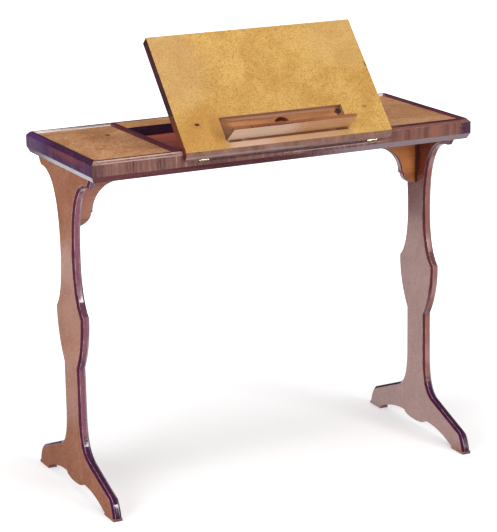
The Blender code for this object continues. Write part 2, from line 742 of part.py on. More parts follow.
def make_prop_rail(kind, start, stiles, axis):
    """A rail between the prop's stiles, with a stub tenon into each."""
    half = PROP_WIDTH / 2 - STILE_WIDTH - GLUE_GAP
    stop = start + PROP_RAIL_WIDTH
    bar = box_mesh((-half, start, -STILE_THICKNESS / 2), (half, stop, STILE_THICKNESS / 2))
    rail = add_object(f"prop_{kind}_rail", bar, RED_MAHOGANY, axis)
    tenon_low = Vector((-half - PROP_TENON_LENGTH, start + PROP_SHOULDER, -PROP_TENON_THICKNESS / 2))
    tenon_high = Vector((half + PROP_TENON_LENGTH, stop - PROP_SHOULDER, PROP_TENON_THICKNESS / 2))
    tenon = add_object(f"prop_{kind}_tenon", box_mesh(tenon_low, tenon_high), None, axis)
    combine(rail, tenon, "UNION")
    room = Vector((GLUE_GAP, GLUE_GAP, GLUE_GAP))
    mortise = box_mesh(tenon_low - room, tenon_high + room)
    cutter = add_object(f"prop_{kind}_mortise", mortise, None, axis)
    for stile in stiles:
        combine(stile, cutter, "DIFFERENCE")


def knuckle_spans(centre):
    """Ends along X of the three knuckles of a hinge centred there."""
    pitch = HINGE_LENGTH / 3
    spans = []
    for index in range(3):
        start = centre - HINGE_LENGTH / 2 + index * pitch
        spans.append((start + GLUE_GAP / 2, start + pitch - GLUE_GAP / 2))
    return spans


def make_leaf(name, centre, spans, level, parent):
    """A hinge leaf: a plate lying behind the axis, with a tab and a bored knuckle for each span."""
    half = HINGE_LENGTH / 2
    top = level + LEAF_THICKNESS
    plate = box_mesh((centre - half, KNUCKLE_CLEAR, level), (centre + half, LEAF_DEPTH, top))
    leaf = add_object(name, plate, BRASS, parent)
    for index, (low, high) in enumerate(spans):
        tab = box_mesh((low, 0.0, level), (high, KNUCKLE_CLEAR + LEAF_THICKNESS, top))
        combine(leaf, add_object(f"{name}_tab_{index}", tab, None, parent), "UNION")
        barrel = rod_mesh(low, high, HINGE_KNUCKLE_RADIUS)
        combine(leaf, add_object(f"{name}_barrel_{index}", barrel, None, parent), "UNION")
    bore = rod_mesh(centre - HINGE_LENGTH, centre + HINGE_LENGTH, HINGE_PIN_RADIUS + PIN_GAP)
    combine(leaf, add_object(f"{name}_bore_cut", bore, None, parent), "DIFFERENCE")


def leaf_seat(name, target, centre, low, high, parent):
    """Cut the shallow seat of a leaf, from low to high, and the hollow for the knuckles."""
    start = centre - HINGE_LENGTH / 2 - GLUE_GAP
    end = centre + HINGE_LENGTH / 2 + GLUE_GAP
    seat = box_mesh((start, -KNUCKLE_CLEAR, low), (end, LEAF_DEPTH + GLUE_GAP, high))
    combine(target, add_object(f"{name}_seat_cut", seat, None, parent), "DIFFERENCE")
    hollow = rod_mesh(start, end, KNUCKLE_CLEAR)
    combine(target, add_object(f"{name}_hollow_cut", hollow, None, parent), "DIFFERENCE")


def make_hinges(front_rail, slope, fixed_axis, slope_axis):
    """Two butt hinges: fixed leaves in the front rail, moving leaves in the slope, and their pins."""
    fixed_level = -SLOPE_FLOOR_GAP - GLUE_GAP / 2 - LEAF_THICKNESS
    fixed_bed = fixed_level - GLUE_GAP
    moving_level = GLUE_GAP / 2
    moving_bed = moving_level + LEAF_THICKNESS + GLUE_GAP
    for side, word in SIDES:
        centre = side * HINGE_OFFSET
        outer_left, middle, outer_right = knuckle_spans(centre)
        make_leaf(f"{word}_fixed_leaf", centre, (outer_left, outer_right), fixed_level, fixed_axis)
        make_leaf(f"{word}_moving_leaf", centre, (middle,), moving_level, slope_axis)
        leaf_seat(f"{word}_rail", front_rail, centre, fixed_bed, SLOPE_THICKNESS, fixed_axis)
        leaf_seat(f"{word}_slope", slope, centre, -SLOPE_THICKNESS, moving_bed, slope_axis)
        pin = rod_mesh(centre - HINGE_LENGTH / 2, centre + HINGE_LENGTH / 2, HINGE_PIN_RADIUS)
        add_object(f"{word}_hinge_pin", pin, BRASS, fixed_axis)


def main():
    clear_scene()
    front_rail = make_rails()
    base = make_base_board()
    make_top_fittings()
    make_racks(base)
    for side, word in SIDES:
        make_standard(word, side, base)
        make_bracket(word, side)
    hinge_line = (0.0, FRONT_FACE, HINGE_LEVEL)
    fixed_axis = axis_empty("hinge_axis", hinge_line, 0.0)
    slope_axis = axis_empty("slope_axis", hinge_line, SLOPE_TURN)
    slope = make_slope(slope_axis)
    make_ledge(slope, slope_axis)
    make_prop(slope, slope_axis)
    make_hinges(front_rail, slope, fixed_axis, slope_axis)


main()
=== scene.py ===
"""Dressed writing table: veneered top with a raised reading slope on two shaped end standards.

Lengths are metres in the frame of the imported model: +Z up, the front faces -Y.
"""

from __future__ import annotations

import json
import logging
import math
from dataclasses import dataclass, replace
from enum import Enum
from typing import Callable, Sequence

import bpy
import numpy as np
from mathutils import Matrix, Vector

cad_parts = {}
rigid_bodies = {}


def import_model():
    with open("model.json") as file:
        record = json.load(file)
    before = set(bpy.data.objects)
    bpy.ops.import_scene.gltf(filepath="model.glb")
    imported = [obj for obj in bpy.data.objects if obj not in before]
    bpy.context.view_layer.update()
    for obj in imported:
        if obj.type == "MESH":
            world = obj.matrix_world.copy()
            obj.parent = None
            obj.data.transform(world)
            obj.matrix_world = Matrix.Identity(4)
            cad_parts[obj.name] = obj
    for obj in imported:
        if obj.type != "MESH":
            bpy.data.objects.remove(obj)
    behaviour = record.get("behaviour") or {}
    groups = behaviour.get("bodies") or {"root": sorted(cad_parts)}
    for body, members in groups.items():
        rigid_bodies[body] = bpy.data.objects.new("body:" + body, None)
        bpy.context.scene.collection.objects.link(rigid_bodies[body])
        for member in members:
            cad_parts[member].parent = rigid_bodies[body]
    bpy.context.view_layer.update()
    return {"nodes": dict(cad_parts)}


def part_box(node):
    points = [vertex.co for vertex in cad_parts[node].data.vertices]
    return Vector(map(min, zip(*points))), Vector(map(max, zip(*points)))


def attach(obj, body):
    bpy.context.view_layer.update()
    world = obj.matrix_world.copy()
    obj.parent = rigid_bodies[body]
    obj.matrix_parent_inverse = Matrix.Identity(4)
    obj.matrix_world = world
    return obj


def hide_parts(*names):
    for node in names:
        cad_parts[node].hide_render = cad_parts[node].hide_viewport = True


LOG = logging.getLogger("writing_table")
IMAGE_SIZE = (497, 532)

# Angle over which an edge is drawn sharp, under which faces are one plane, and over which an arris is eased
SHARP_ANGLE = math.radians(32.0)
PLANE_ANGLE = math.radians(0.6)
ARRIS_ANGLE = math.radians(24.0)

# Share of a normal along a direction, on a face that is square to it or turned to it mainly, half or a little
SQUARE_ON = 0.9
MAINLY = 0.7
HALFWAY = 0.5
LEANING = 0.2

# How far a face's middle may lie off the line that sorts it, and how near a curve's point may come to a joint
SLACK = 0.0005
NEAR = 0.0001

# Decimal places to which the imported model's points are merged, and points on each curve
MERGED_PLACES = 6
CURVE_STEPS = 36

# Least sum that a mitre divides by, and the sine under which two sides are one line
SHARPEST_MITRE = 0.2
NEARLY_STRAIGHT = 0.05

# Flat rim beside a chamfer in arrises, and a plain board's corners and roundings in widths of its easing
RIM_WIDTH = 1.5
BOARD_CORNER = 1.8
BOARD_ARRIS = 0.45

# Height of the relief on wood and on brass, and the weight of the polish's unevenness in the former
WOOD_RELIEF = 0.00012
BRASS_RELIEF = 0.00005
POLISH_WEIGHT = 6.0

Pair = tuple[float, float]
Triple = tuple[float, float, float]
Colour = tuple[float, float, float]
Point = Sequence[float]
Tones = tuple[Colour, Colour, Colour]
Placer = Callable[[np.ndarray, np.ndarray, np.ndarray], np.ndarray]
Sorter = Callable[[np.ndarray, np.ndarray], np.ndarray]
Socket = bpy.types.NodeSocket
Inputs = dict[str | int, object]


class Side(Enum):
    """The two ends of the table, with the sign of X there."""

    LEFT = -1
    RIGHT = 1

    @property
    def word(self) -> str:
        """The end's name as the pieces carry it."""
        return self.name.lower()


class End(Enum):
    """Front and rear, with the sign of Y there."""

    FRONT = -1
    REAR = 1

    @property
    def word(self) -> str:
        """The direction's name as the pieces carry it."""
        return self.name.lower()


class Body(Enum):
    """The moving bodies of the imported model."""

    TABLE = "table"
    SLOPE = "slope"
    PROP = "prop"
    LEDGE = "ledge"


class Slot(Enum):
    """Slots of the record that the dressed pieces take."""

    GOLDEN = "golden_veneer"
    ROSEWOOD = "dark_rosewood"
    BROWN = "brown_veneer"
    MAHOGANY = "red_mahogany"


class Figure(Enum):
    """How the wood is figured, and the node group that draws it."""

    BURR = "burr_figure"
    GRAIN = "grain_figure"


class GrainRun(Enum):
    """Direction in which the grain runs, as the turn that brings it onto X."""

    ALONG_X = (0.0, 0.0, 0.0)
    ALONG_Y = (0.0, 0.0, -math.pi / 2)
    ALONG_Z = (0.0, math.pi / 2, 0.0)


class Graph:
    """A node tree that is filled in by short calls."""

    def __init__(self, tree: bpy.types.NodeTree) -> None:
        """Keep the tree that the calls fill."""
        self.tree = tree

    def add(self, kind: str, inputs: Inputs | None = None, **settings: object) -> bpy.types.Node:
        """Add a node.

        Args:
            kind: the node's type name, without the ShaderNode in front.
            inputs: what its inputs are fed with, by their names or numbers.
            **settings: properties of the node.

        Returns:
            The new node.
        """
        node = self.tree.nodes.new(f"ShaderNode{kind}")
        for name, value in settings.items():
            setattr(node, name, value)
        self.feed(node, inputs or {})
        return node

    def feed(self, node: bpy.types.Node, inputs: Inputs) -> None:
        """Feed a node's inputs from other sockets, or set them to constants.

        Args:
            node: the node.
            inputs: output sockets, numbers, colours or vectors by the inputs' names or numbers.
        """
        for key, value in inputs.items():
            socket = node.inputs[key]
            if isinstance(value, Socket):
                self.tree.links.new(value, socket)
            elif socket.type == "RGBA" and len(value) == 3:
                socket.default_value = (*value, 1.0)
            else:
                socket.default_value = value

    def math(
        self, operation: str, first: object, second: object = 0.0, clamp: bool = False, third: object = 0.0
    ) -> Socket:
        """Combine two or three values.

        Args:
            operation: name of the sum.
            first: a socket or a number.
            second: a socket or a number.
            clamp: whether the result is kept between 0 and 1.
            third: a socket or a number, where the sum takes three.

        Returns:
            The result's socket.
        """
        inputs = {0: first, 1: second, 2: third}
        return self.add("Math", inputs, operation=operation, use_clamp=clamp).outputs[0]

    def mix(self, share: object, first: object, second: object) -> Socket:
        """Mix two colours.

        Args:
            share: how much of the second is taken.
            first: a socket or a colour.
            second: a socket or a colour.

        Returns:
            The mixed colour's socket.
        """
        return self.add("Mix", {"Factor": share, 6: first, 7: second}, data_type="RGBA").outputs[2]

    def stretch(self, vector: Socket, scale: Triple, turn: Triple = (0, 0, 0)) -> Socket:
        """Scale and turn coordinates.

        Args:
            vector: socket of the coordinates.
            scale: factor along each axis.
            turn: Euler angles in radians.

        Returns:
            The new coordinates' socket.
        """
        return self.add("Mapping", {"Vector": vector, "Rotation": turn, "Scale": scale}).outputs[0]

    def noise(
        self, vector: Socket, scale: float, detail: float = 3.0, rough: float = 0.55, bend: float = 0.0
    ) -> Socket:
        """Fractal noise between 0 and 1.

        Args:
            vector: socket of the coordinates.
            scale: waves per metre.
            detail: number of finer octaves.
            rough: weight of the finer octaves.
            bend: how far the noise distorts itself.

        Returns:
            The noise value's socket.
        """
        inputs = {"Vector": vector, "Scale": scale, "Detail": detail, "Roughness": rough, "Distortion": bend}
        return self.add("TexNoise", inputs).outputs["Fac"]

    def spread(
        self, value: Socket, low: float, high: float, out_low: float = 0.0, out_high: float = 1.0
    ) -> Socket:
        """Carry a span of a value smoothly onto another span, held at its ends.

        Args:
            value: socket of the value.
            low: value that gives out_low.
            high: value that gives out_high.
            out_low: result at low.
            out_high: result at high.

        Returns:
            The result's socket.
        """
        inputs = {"Value": value, "From Min": low, "From Max": high, "To Min": out_low, "To Max": out_high}
        return self.add("MapRange", inputs, interpolation_type="SMOOTHSTEP").outputs["Result"]


class Effects:
    """Node groups that the finishes share, each made once."""

    figure_sockets = (
        {"Vector": "Vector", "Dark": "Color", "Mid": "Color", "Light": "Color"},
        {"Color": "Color", "Height": "Float"},
    )

    def __init__(self) -> None:
        """Start with no group made."""
        self.made: dict[str, bpy.types.NodeTree] = {}

    def start(
        self, name: str, inputs: dict[str, str], outputs: dict[str, str]
    ) -> tuple[Graph, bpy.types.NodeOutputs, bpy.types.Node]:
        """Begin a group.

        Args:
            name: the group's name.
            inputs: kind of each input socket by name.
            outputs: kind of each output socket by name.

        Returns:
            The group's graph, the sockets coming in and the node that takes those going out.
        """
        tree = bpy.data.node_groups.new(name, "ShaderNodeTree")
        for label, kind in inputs.items():
            tree.interface.new_socket(label, in_out="INPUT", socket_type=f"NodeSocket{kind}")
        for label, kind in outputs.items():
            tree.interface.new_socket(label, in_out="OUTPUT", socket_type=f"NodeSocket{kind}")
        entry = tree.nodes.new("NodeGroupInput")
        leave = tree.nodes.new("NodeGroupOutput")
        self.made[name] = tree
        return Graph(tree), entry.outputs, leave

    def place(self, graph: Graph, name: str, **values: object) -> bpy.types.Node:
        """Put a group into a material.

        Args:
            graph: the material's graph.
            name: the group's name.
            **values: sockets or constants for its inputs.

        Returns:
            The group's node.
        """
        if name not in self.made:
            getattr(self, name)()
        return graph.add("Group", values, node_tree=self.made[name])

    def grain_figure(self) -> None:
        """Straight grain along X: broad bands, long streaks and short dark pores, each a stretched noise."""
        graph, into, out = self.start("grain_figure", *self.figure_sockets)
        vector = into["Vector"]
        bands = graph.noise(graph.stretch(vector, (1.5, 16.0, 16.0)), 1.6, 3.0, 0.6, 0.6)
        streaks = graph.noise(graph.stretch(vector, (5.0, 120.0, 120.0)), 2.0, 5.0, 0.62, 0.25)
        pores = graph.noise(graph.stretch(vector, (45.0, 900.0, 900.0)), 1.3, 2.0, 0.5)
        mottle = graph.noise(vector, 95.0, 4.0, 0.6, 0.8)
        tone = graph.math("MULTIPLY_ADD", bands, 0.6, third=-0.05)
        tone = graph.math("ADD", tone, graph.math("MULTIPLY", streaks, 0.38))
        tone = graph.math("ADD", tone, graph.math("MULTIPLY", mottle, 0.14))
        colour = graph.mix(graph.spread(tone, 0.32, 0.54), into["Dark"], into["Mid"])
        colour = graph.mix(graph.spread(tone, 0.53, 0.76), colour, into["Light"])
        pore = graph.spread(pores, 0.57, 0.70)
        colour = graph.mix(graph.math("MULTIPLY", pore, 0.45), colour, into["Dark"])
        raised = graph.math("MULTIPLY", streaks, 0.35)
        height = graph.math("SUBTRACT", raised, graph.math("MULTIPLY", pore, 0.55))
        graph.feed(out, {"Color": colour, "Height": height})

    def burr_figure(self) -> None:
        """Burr: soft clouds and curls under fine grains, short flecks and small dark eyes in clusters."""
        graph, into, out = self.start("burr_figure", *self.figure_sockets)
        vector = into["Vector"]
        clouds = graph.noise(vector, 14.0, 3.0, 0.5, 0.4)
        curls = graph.noise(vector, 60.0, 4.0, 0.6, 1.2)
        grains = graph.noise(vector, 330.0, 4.0, 0.7, 0.8)
        flecks = graph.noise(graph.stretch(vector, (0.45, 1.3, 1.3)), 400.0, 3.0, 0.65, 0.8)
        eyes = graph.add("TexVoronoi", {"Vector": vector, "Scale": 170.0})
        eye = graph.spread(eyes.outputs["Distance"], 0.20, 0.08)
        cluster = graph.spread(graph.noise(vector, 19.0, 2.0, 0.5, 0.5), 0.52, 0.68)
        eye = graph.math("MULTIPLY", eye, cluster)
        tone = graph.math("ADD", graph.math("MULTIPLY", clouds, 0.6), graph.math("MULTIPLY", curls, 0.4))
        colour = graph.mix(graph.spread(tone, 0.40, 0.62), into["Mid"], into["Light"])
        colour = graph.mix(graph.spread(tone, 0.46, 0.32, 0.0, 0.14), colour, into["Dark"])
        colour = graph.mix(graph.spread(grains, 0.49, 0.64, 0.0, 0.84), colour, into["Dark"])
        colour = graph.mix(graph.spread(flecks, 0.52, 0.68, 0.0, 0.62), colour, into["Dark"])
        colour = graph.mix(graph.spread(grains, 0.44, 0.30, 0.0, 0.70), colour, into["Light"])
        colour = graph.mix(graph.math("MULTIPLY", eye, 0.40), colour, into["Dark"])
        raised = graph.math("MULTIPLY", grains, 0.3)
        height = graph.math("SUBTRACT", raised, graph.math("MULTIPLY", eye, 0.6))
        graph.feed(out, {"Color": colour, "Height": height})

    def polish(self) -> None:
        """Old polish: roughness that varies in smears and dull spots, over a slightly uneven ground."""
        graph, into, out = self.start(
            "polish",
            {"Vector": "Vector", "Roughness": "Float"},
            {"Roughness": "Float", "Height": "Float"},
        )
        vector = into["Vector"]
        smears = graph.noise(vector, 14.0, 4.0, 0.6, 0.8)
        specks = graph.noise(vector, 260.0, 2.0, 0.6)
        uneven = graph.noise(vector, 34.0, 2.0, 0.45)
        rough = graph.math("ADD", into["Roughness"], graph.spread(smears, 0.42, 0.75, -0.03, 0.12))
        rough = graph.math("ADD", rough, graph.spread(specks, 0.6, 0.8, 0.0, 0.12), True)
        height = graph.math("ADD", uneven, graph.math("MULTIPLY", specks, 0.04))
        graph.feed(out, {"Roughness": rough, "Height": height})

    def edge_wear(self) -> None:
        """Worn arrises and painted arris highlights: the piece's wear attribute, broken up by noise, brings
        in the rubbed tone, which on the standards' edges is a pale painted highlight line.
        """
        graph, into, out = self.start(
            "edge_wear",
            {"Vector": "Vector", "Wear": "Float", "Color": "Color", "Rubbed": "Color"},
            {"Color": "Color"},
        )
        patches = graph.noise(into["Vector"], 38.0, 4.0, 0.65, 0.5)
        nicks = graph.noise(into["Vector"], 320.0, 2.0, 0.6)
        share = graph.math("MULTIPLY", into["Wear"], graph.spread(patches, 0.35, 0.68, 0.15, 1.0))
        share = graph.math("MULTIPLY", share, graph.spread(nicks, 0.3, 0.6, 0.45, 1.0), True)
        graph.feed(out, {"Color": graph.mix(share, into["Color"], into["Rubbed"])})

    def ragged_spot(self) -> None:
        """A stain, band, painted shade or painted highlight: one minus the distance from its centre in units
        of its size, made ragged by noise.

        The distance is the length of the offset, or its largest part where the mark is square.
        """
        graph, into, out = self.start(
            "ragged_spot",
            {"Vector": "Vector", "Centre": "Vector", "Size": "Vector", "Ragged": "Float", "Square": "Float"},
            {"Mask": "Float"},
        )
        offset = graph.add("VectorMath", {0: into["Vector"], 1: into["Centre"]}, operation="SUBTRACT")
        ratio = graph.add("VectorMath", {0: offset.outputs[0], 1: into["Size"]}, operation="DIVIDE")
        length = graph.add("VectorMath", {0: ratio.outputs[0]}, operation="LENGTH").outputs["Value"]
        parts = graph.add("SeparateXYZ", {0: ratio.outputs[0]})
        flat = [graph.math("ABSOLUTE", part) for part in parts.outputs]
        largest = graph.math("MAXIMUM", graph.math("MAXIMUM", flat[0], flat[1]), flat[2])
        gain = graph.math("MULTIPLY", into["Square"], graph.math("SUBTRACT", largest, length))
        reach = graph.math("ADD", length, gain)
        rag = graph.math("SUBTRACT", graph.noise(into["Vector"], 240.0, 3.0, 0.6, 0.6), 0.5)
        reach = graph.math("ADD", reach, graph.math("MULTIPLY", rag, into["Ragged"]))
        graph.feed(out, {"Mask": graph.spread(reach, 1.1, 0.6)})


EFFECTS = Effects()


def new_material(name: str) -> tuple[bpy.types.Material, Graph, bpy.types.Node]:
    """Start a material.

    Args:
        name: the material's name.

    Returns:
        The material, its graph and its Principled BSDF.
    """
    material = bpy.data.materials.new(name)
    material.use_nodes = True
    return material, Graph(material.node_tree), material.node_tree.nodes["Principled BSDF"]


@dataclass(frozen=True)
class Ground:
    """Where a pattern's own coordinates lie: it is turned about X by an angle and set at a point."""

    origin: Triple = (0.0, 0.0, 0.0)
    turn: float = 0.0

    def coordinates(self, graph: Graph) -> Socket:
        """Coordinates of the ground from the piece's Object coordinates.

        Args:
            graph: the material's graph.

        Returns:
            The socket of the coordinates.
        """
        source = graph.add("TexCoord").outputs["Object"]
        inputs = {"Vector": source, "Location": self.origin, "Rotation": (self.turn, 0.0, 0.0)}
        return graph.add("Mapping", inputs, vector_type="TEXTURE").outputs[0]


@dataclass(frozen=True)
class Spot:
    """A stain, chip, pale patch, painted shade or painted highlight on a finish, placed in the ground's
    coordinates.
    """

    centre: Triple
    size: Triple
    colour: Colour
    share: float = 1.0
    ragged: float = 1.2
    square: float = 0.0


@dataclass(frozen=True)
class Finish:
    """A surface whose material is made once and then shared."""

    name: str

    def material(self) -> bpy.types.Material:
        """Make the finish's material, or give back the one already made.

        Returns:
            The material.
        """
        material = bpy.data.materials.get(self.name)
        if material is None:
            material, graph, shader = new_material(self.name)
            self.dress(graph, shader)
        return material

    def dress(self, graph: Graph, shader: bpy.types.Node) -> None:
        """Lay the finish on a new material's shader."""
        raise NotImplementedError


@dataclass(frozen=True)
class WoodFinish(Finish):
    """A polished wood: its figure, its dark, middle and light tones, the grain's run, the gloss and marks."""

    figure: Figure
    tones: Tones
    run: GrainRun = GrainRun.ALONG_X
    density: float = 1.0
    roughness: float = 0.22
    coat: float = 0.7
    coat_roughness: float = 0.07
    relief: float = 0.35
    specular: float = 0.5
    rubbed: Colour = (0.45, 0.24, 0.13)
    wear: float = 0.0
    ground: Ground = Ground()
    spots: tuple[Spot, ...] = ()

    def dress(self, graph: Graph, shader: bpy.types.Node) -> None:
        """Lay figure, spots, wear and polish on the shader; spots include painted shade and painted
        highlights, and on some finishes the wear is a painted arris highlight.

        Args:
            graph: the material's graph.
            shader: its shader.
        """
        dark, mid, light = self.tones
        vector = self.ground.coordinates(graph)
        scale = (self.density, self.density, self.density)
        run = graph.stretch(vector, scale, self.run.value)
        figure = EFFECTS.place(graph, self.figure.value, Vector=run, Dark=dark, Mid=mid, Light=light)
        polish = EFFECTS.place(graph, "polish", Vector=vector, Roughness=self.roughness)
        colour = figure.outputs["Color"]
        for spot in self.spots:
            colour = self.marked(graph, vector, colour, spot)
        if self.wear > 0.0:
            attribute = graph.add("Attribute", attribute_name="wear")
            share = graph.math("MULTIPLY", attribute.outputs["Fac"], self.wear)
            worn = EFFECTS.place(
                graph, "edge_wear", Vector=vector, Wear=share, Color=colour, Rubbed=self.rubbed
            )
            colour = worn.outputs["Color"]
        uneven = graph.math("MULTIPLY", polish.outputs["Height"], POLISH_WEIGHT)
        height = graph.math("ADD", figure.outputs["Height"], uneven)
        bump = graph.add("Bump", {"Strength": self.relief, "Distance": WOOD_RELIEF, "Height": height})
        inputs = {
            "Base Color": colour,
            "Roughness": polish.outputs["Roughness"],
            "Normal": bump.outputs["Normal"],
            "Specular IOR Level": self.specular,
            "Coat Weight": self.coat,
            "Coat Roughness": self.coat_roughness,
        }
        graph.feed(shader, inputs)

    @staticmethod
    def marked(graph: Graph, vector: Socket, colour: Socket, spot: Spot) -> Socket:
        """Lay a spot over a colour.

        Args:
            graph: the material's graph.
            vector: socket of the ground's coordinates.
            colour: socket of the colour so far.
            spot: the spot.

        Returns:
            The socket of the colour with the spot on it.
        """
        place = {"Centre": spot.centre, "Size": spot.size, "Ragged": spot.ragged, "Square": spot.square}
        mask = EFFECTS.place(graph, "ragged_spot", Vector=vector, **place)
        share = graph.math("MULTIPLY", mask.outputs["Mask"], spot.share)
        return graph.mix(share, colour, spot.colour)


@dataclass(frozen=True)
class BrassFinish(Finish):
    """Old brass: pale metal with dull brown patches and fine scratches."""

    name: str = "old_brass"
    bright: Colour = (0.90, 0.77, 0.52)
    dull: Colour = (0.55, 0.42, 0.22)
    roughness: float = 0.26
    tarnish_roughness: float = 0.25
    relief: float = 0.25

    def dress(self, graph: Graph, shader: bpy.types.Node) -> None:
        """Lay metal, tarnish and scratches on the shader.

        Args:
            graph: the material's graph.
            shader: its shader.
        """
        vector = Ground().coordinates(graph)
        tarnish = graph.spread(graph.noise(vector, 320.0, 4.0, 0.65, 0.7), 0.42, 0.68)
        scratch = graph.noise(graph.stretch(vector, (90.0, 2600.0, 2600.0)), 1.0, 2.0)
        polish = EFFECTS.place(graph, "polish", Vector=vector, Roughness=self.roughness)
        dulled = graph.math("MULTIPLY", tarnish, self.tarnish_roughness)
        rough = graph.math("ADD", polish.outputs["Roughness"], dulled, True)
        bump = graph.add("Bump", {"Strength": self.relief, "Distance": BRASS_RELIEF, "Height": scratch})
        inputs = {
            "Base Color": graph.mix(tarnish, self.bright, self.dull),
            "Roughness": rough,
            "Normal": bump.outputs["Normal"],
            "Metallic": 1.0,
        }
        graph.feed(shader, inputs)


# Line of the slope's hinges, the angle at which it is raised, and the ledge's pivot up the slope and out
HINGE_LINE = (0.0, -0.1761, 0.6994)
SLOPE_TURN = math.radians(48.07)
LEDGE_PIVOT = (0.0293, 0.0166)

# Height of the slope's face over its hinges, the rail's face, in which they lie, and how deep a mark goes
SLOPE_FACE = 0.0206
RAIL_FACE = HINGE_LINE[1]
MARK_DEPTH = 0.02


def on_slope(up: float, out: float) -> Triple:
    """The point so far up the raised slope from its hinges, and so far out of it."""
    c, s = math.cos(SLOPE_TURN), math.sin(SLOPE_TURN)
    return 0.0, HINGE_LINE[1] + c * up - s * out, HINGE_LINE[2] + s * up + c * out


def slope_spot(place: Pair, size: Pair, colour: Colour, *look: float) -> Spot:
    """A spot on the slope's face, placed along its hinges and up the slope."""
    return Spot((*place, SLOPE_FACE), (*size, MARK_DEPTH), colour, *look)


def rail_spot(place: Pair, size: Pair, colour: Colour, *look: float) -> Spot:
    """A spot on the front rail's face, placed along it and by its height."""
    return Spot((place[0], RAIL_FACE, place[1]), (size[0], MARK_DEPTH, size[1]), colour, *look)


SLOPE_GROUND = Ground(HINGE_LINE, SLOPE_TURN)
LEDGE_GROUND = Ground(on_slope(*LEDGE_PIVOT), SLOPE_TURN)

SLOPE_BURR = WoodFinish(
    "slope_burr_veneer", Figure.BURR, ((0.275, 0.122, 0.029), (0.466, 0.262, 0.062), (0.552, 0.340, 0.098)),
    roughness=0.42, coat=0.0, relief=0.2, ground=SLOPE_GROUND, specular=0.25,
    spots=(
        Spot((-0.2000, 0.2000, SLOPE_FACE), (0.085, 0.110, 0.2), (0.42, 0.255, 0.130), 0.30, 0.9),
        Spot((0.1900, 0.2300, SLOPE_FACE), (0.090, 0.080, 0.2), (0.50, 0.315, 0.135), 0.30, 0.9),
        Spot((-0.1700, 0.0300, SLOPE_FACE), (0.095, 0.090, 0.2), (0.36, 0.160, 0.030), 0.50, 0.9),
        Spot((-0.1480, 0.0500, SLOPE_FACE), (0.016, 0.036, 0.2), (0.33, 0.145, 0.030), 0.55, 1.8),
        slope_spot((-0.1885, 0.0660), (0.0150, 0.0085), (0.34, 0.15, 0.05), 0.5, 1.5),
        slope_spot((-0.1855, 0.0667), (0.0060, 0.0036), (0.05, 0.016, 0.008), 1.0, 1.7),
        slope_spot((0.1859, 0.0676), (0.0056, 0.0040), (0.20, 0.085, 0.025), 0.65, 1.5),
        slope_spot((0.2250, 0.1656), (0.0022, 0.0075), (0.12, 0.040, 0.018), 0.85, 1.2),
        slope_spot((-0.0505, 0.1828), (0.0011, 0.0011), (0.20, 0.080, 0.025), 0.8, 0.8),
        slope_spot((-0.1906, 0.1557), (0.0010, 0.0010), (0.20, 0.080, 0.025), 0.8, 0.8),
        # A paler veneer strip below the recess, lightened with painted light bounced from the ledge, and
        # paler still at its left end
        slope_spot((0.0, 0.0120), (0.1365, 0.0130), (0.57, 0.340, 0.205), 0.85, 0.35, 1.0),
        slope_spot((-0.0850, 0.0110), (0.0540, 0.0150), (0.60, 0.405, 0.300), 0.80, 0.45, 1.0),
        # Painted shadow line under the open ledge, all along it and deeper at its two ends
        *(
            slope_spot((across, 0.0224), (half, 0.0034), (0.11, 0.032, 0.013), 0.92, 0.15, 1.0)
            for across, half in ((0.0, 0.1365), (-0.1180, 0.0165), (0.1180, 0.0165))
        ),
    ),
)
SLOPE_FRONT = WoodFinish(
    "slope_front_crossband", Figure.GRAIN,
    ((0.115, 0.050, 0.042), (0.238, 0.120, 0.092), (0.35, 0.202, 0.160)),
    run=GrainRun.ALONG_Y, density=1.4, ground=SLOPE_GROUND,
    # Painted shade line along the lower edge of the slope's front, over the gap above the rail
    spots=(Spot((0.0, 0.0, 0.0008), (0.2275, 0.02, 0.0016), (0.07, 0.020, 0.03), 0.85, 0.4, 1.0),),
)
SLOPE_SIDE = WoodFinish(
    "slope_side_rosewood", Figure.GRAIN,
    ((0.020, 0.006, 0.011), (0.048, 0.013, 0.018), (0.12, 0.036, 0.034)),
    run=GrainRun.ALONG_Y, ground=SLOPE_GROUND, coat=0.3,
    spots=(Spot((-0.2275, 0.0300, 0.0103), (0.02, 0.070, 0.03), (0.13, 0.022, 0.016), 0.8, 1.0),),
)
SLOPE_RECESS = WoodFinish(
    "recess_wood", Figure.GRAIN, ((0.20, 0.068, 0.032), (0.40, 0.168, 0.057), (0.52, 0.260, 0.110)),
    density=1.6, roughness=0.45, coat=0.1, ground=SLOPE_GROUND,
    spots=(
        # Painted bounce light in a pale band along the recess's upper wall, painted shade in its lower left
        # corner, then a dark blot
        Spot((0.0, 0.0752, 0.012), (0.137, 0.0032, 0.02), (0.42, 0.225, 0.160), 0.75, 0.6, 1.0),
        Spot((-0.128, 0.045, 0.012), (0.024, 0.032, 0.02), (0.16, 0.055, 0.026), 0.65, 0.9),
        Spot((0.129, 0.068, 0.012), (0.0075, 0.0105, 0.02), (0.03, 0.010, 0.007), 0.95, 2.0),
    ),
)
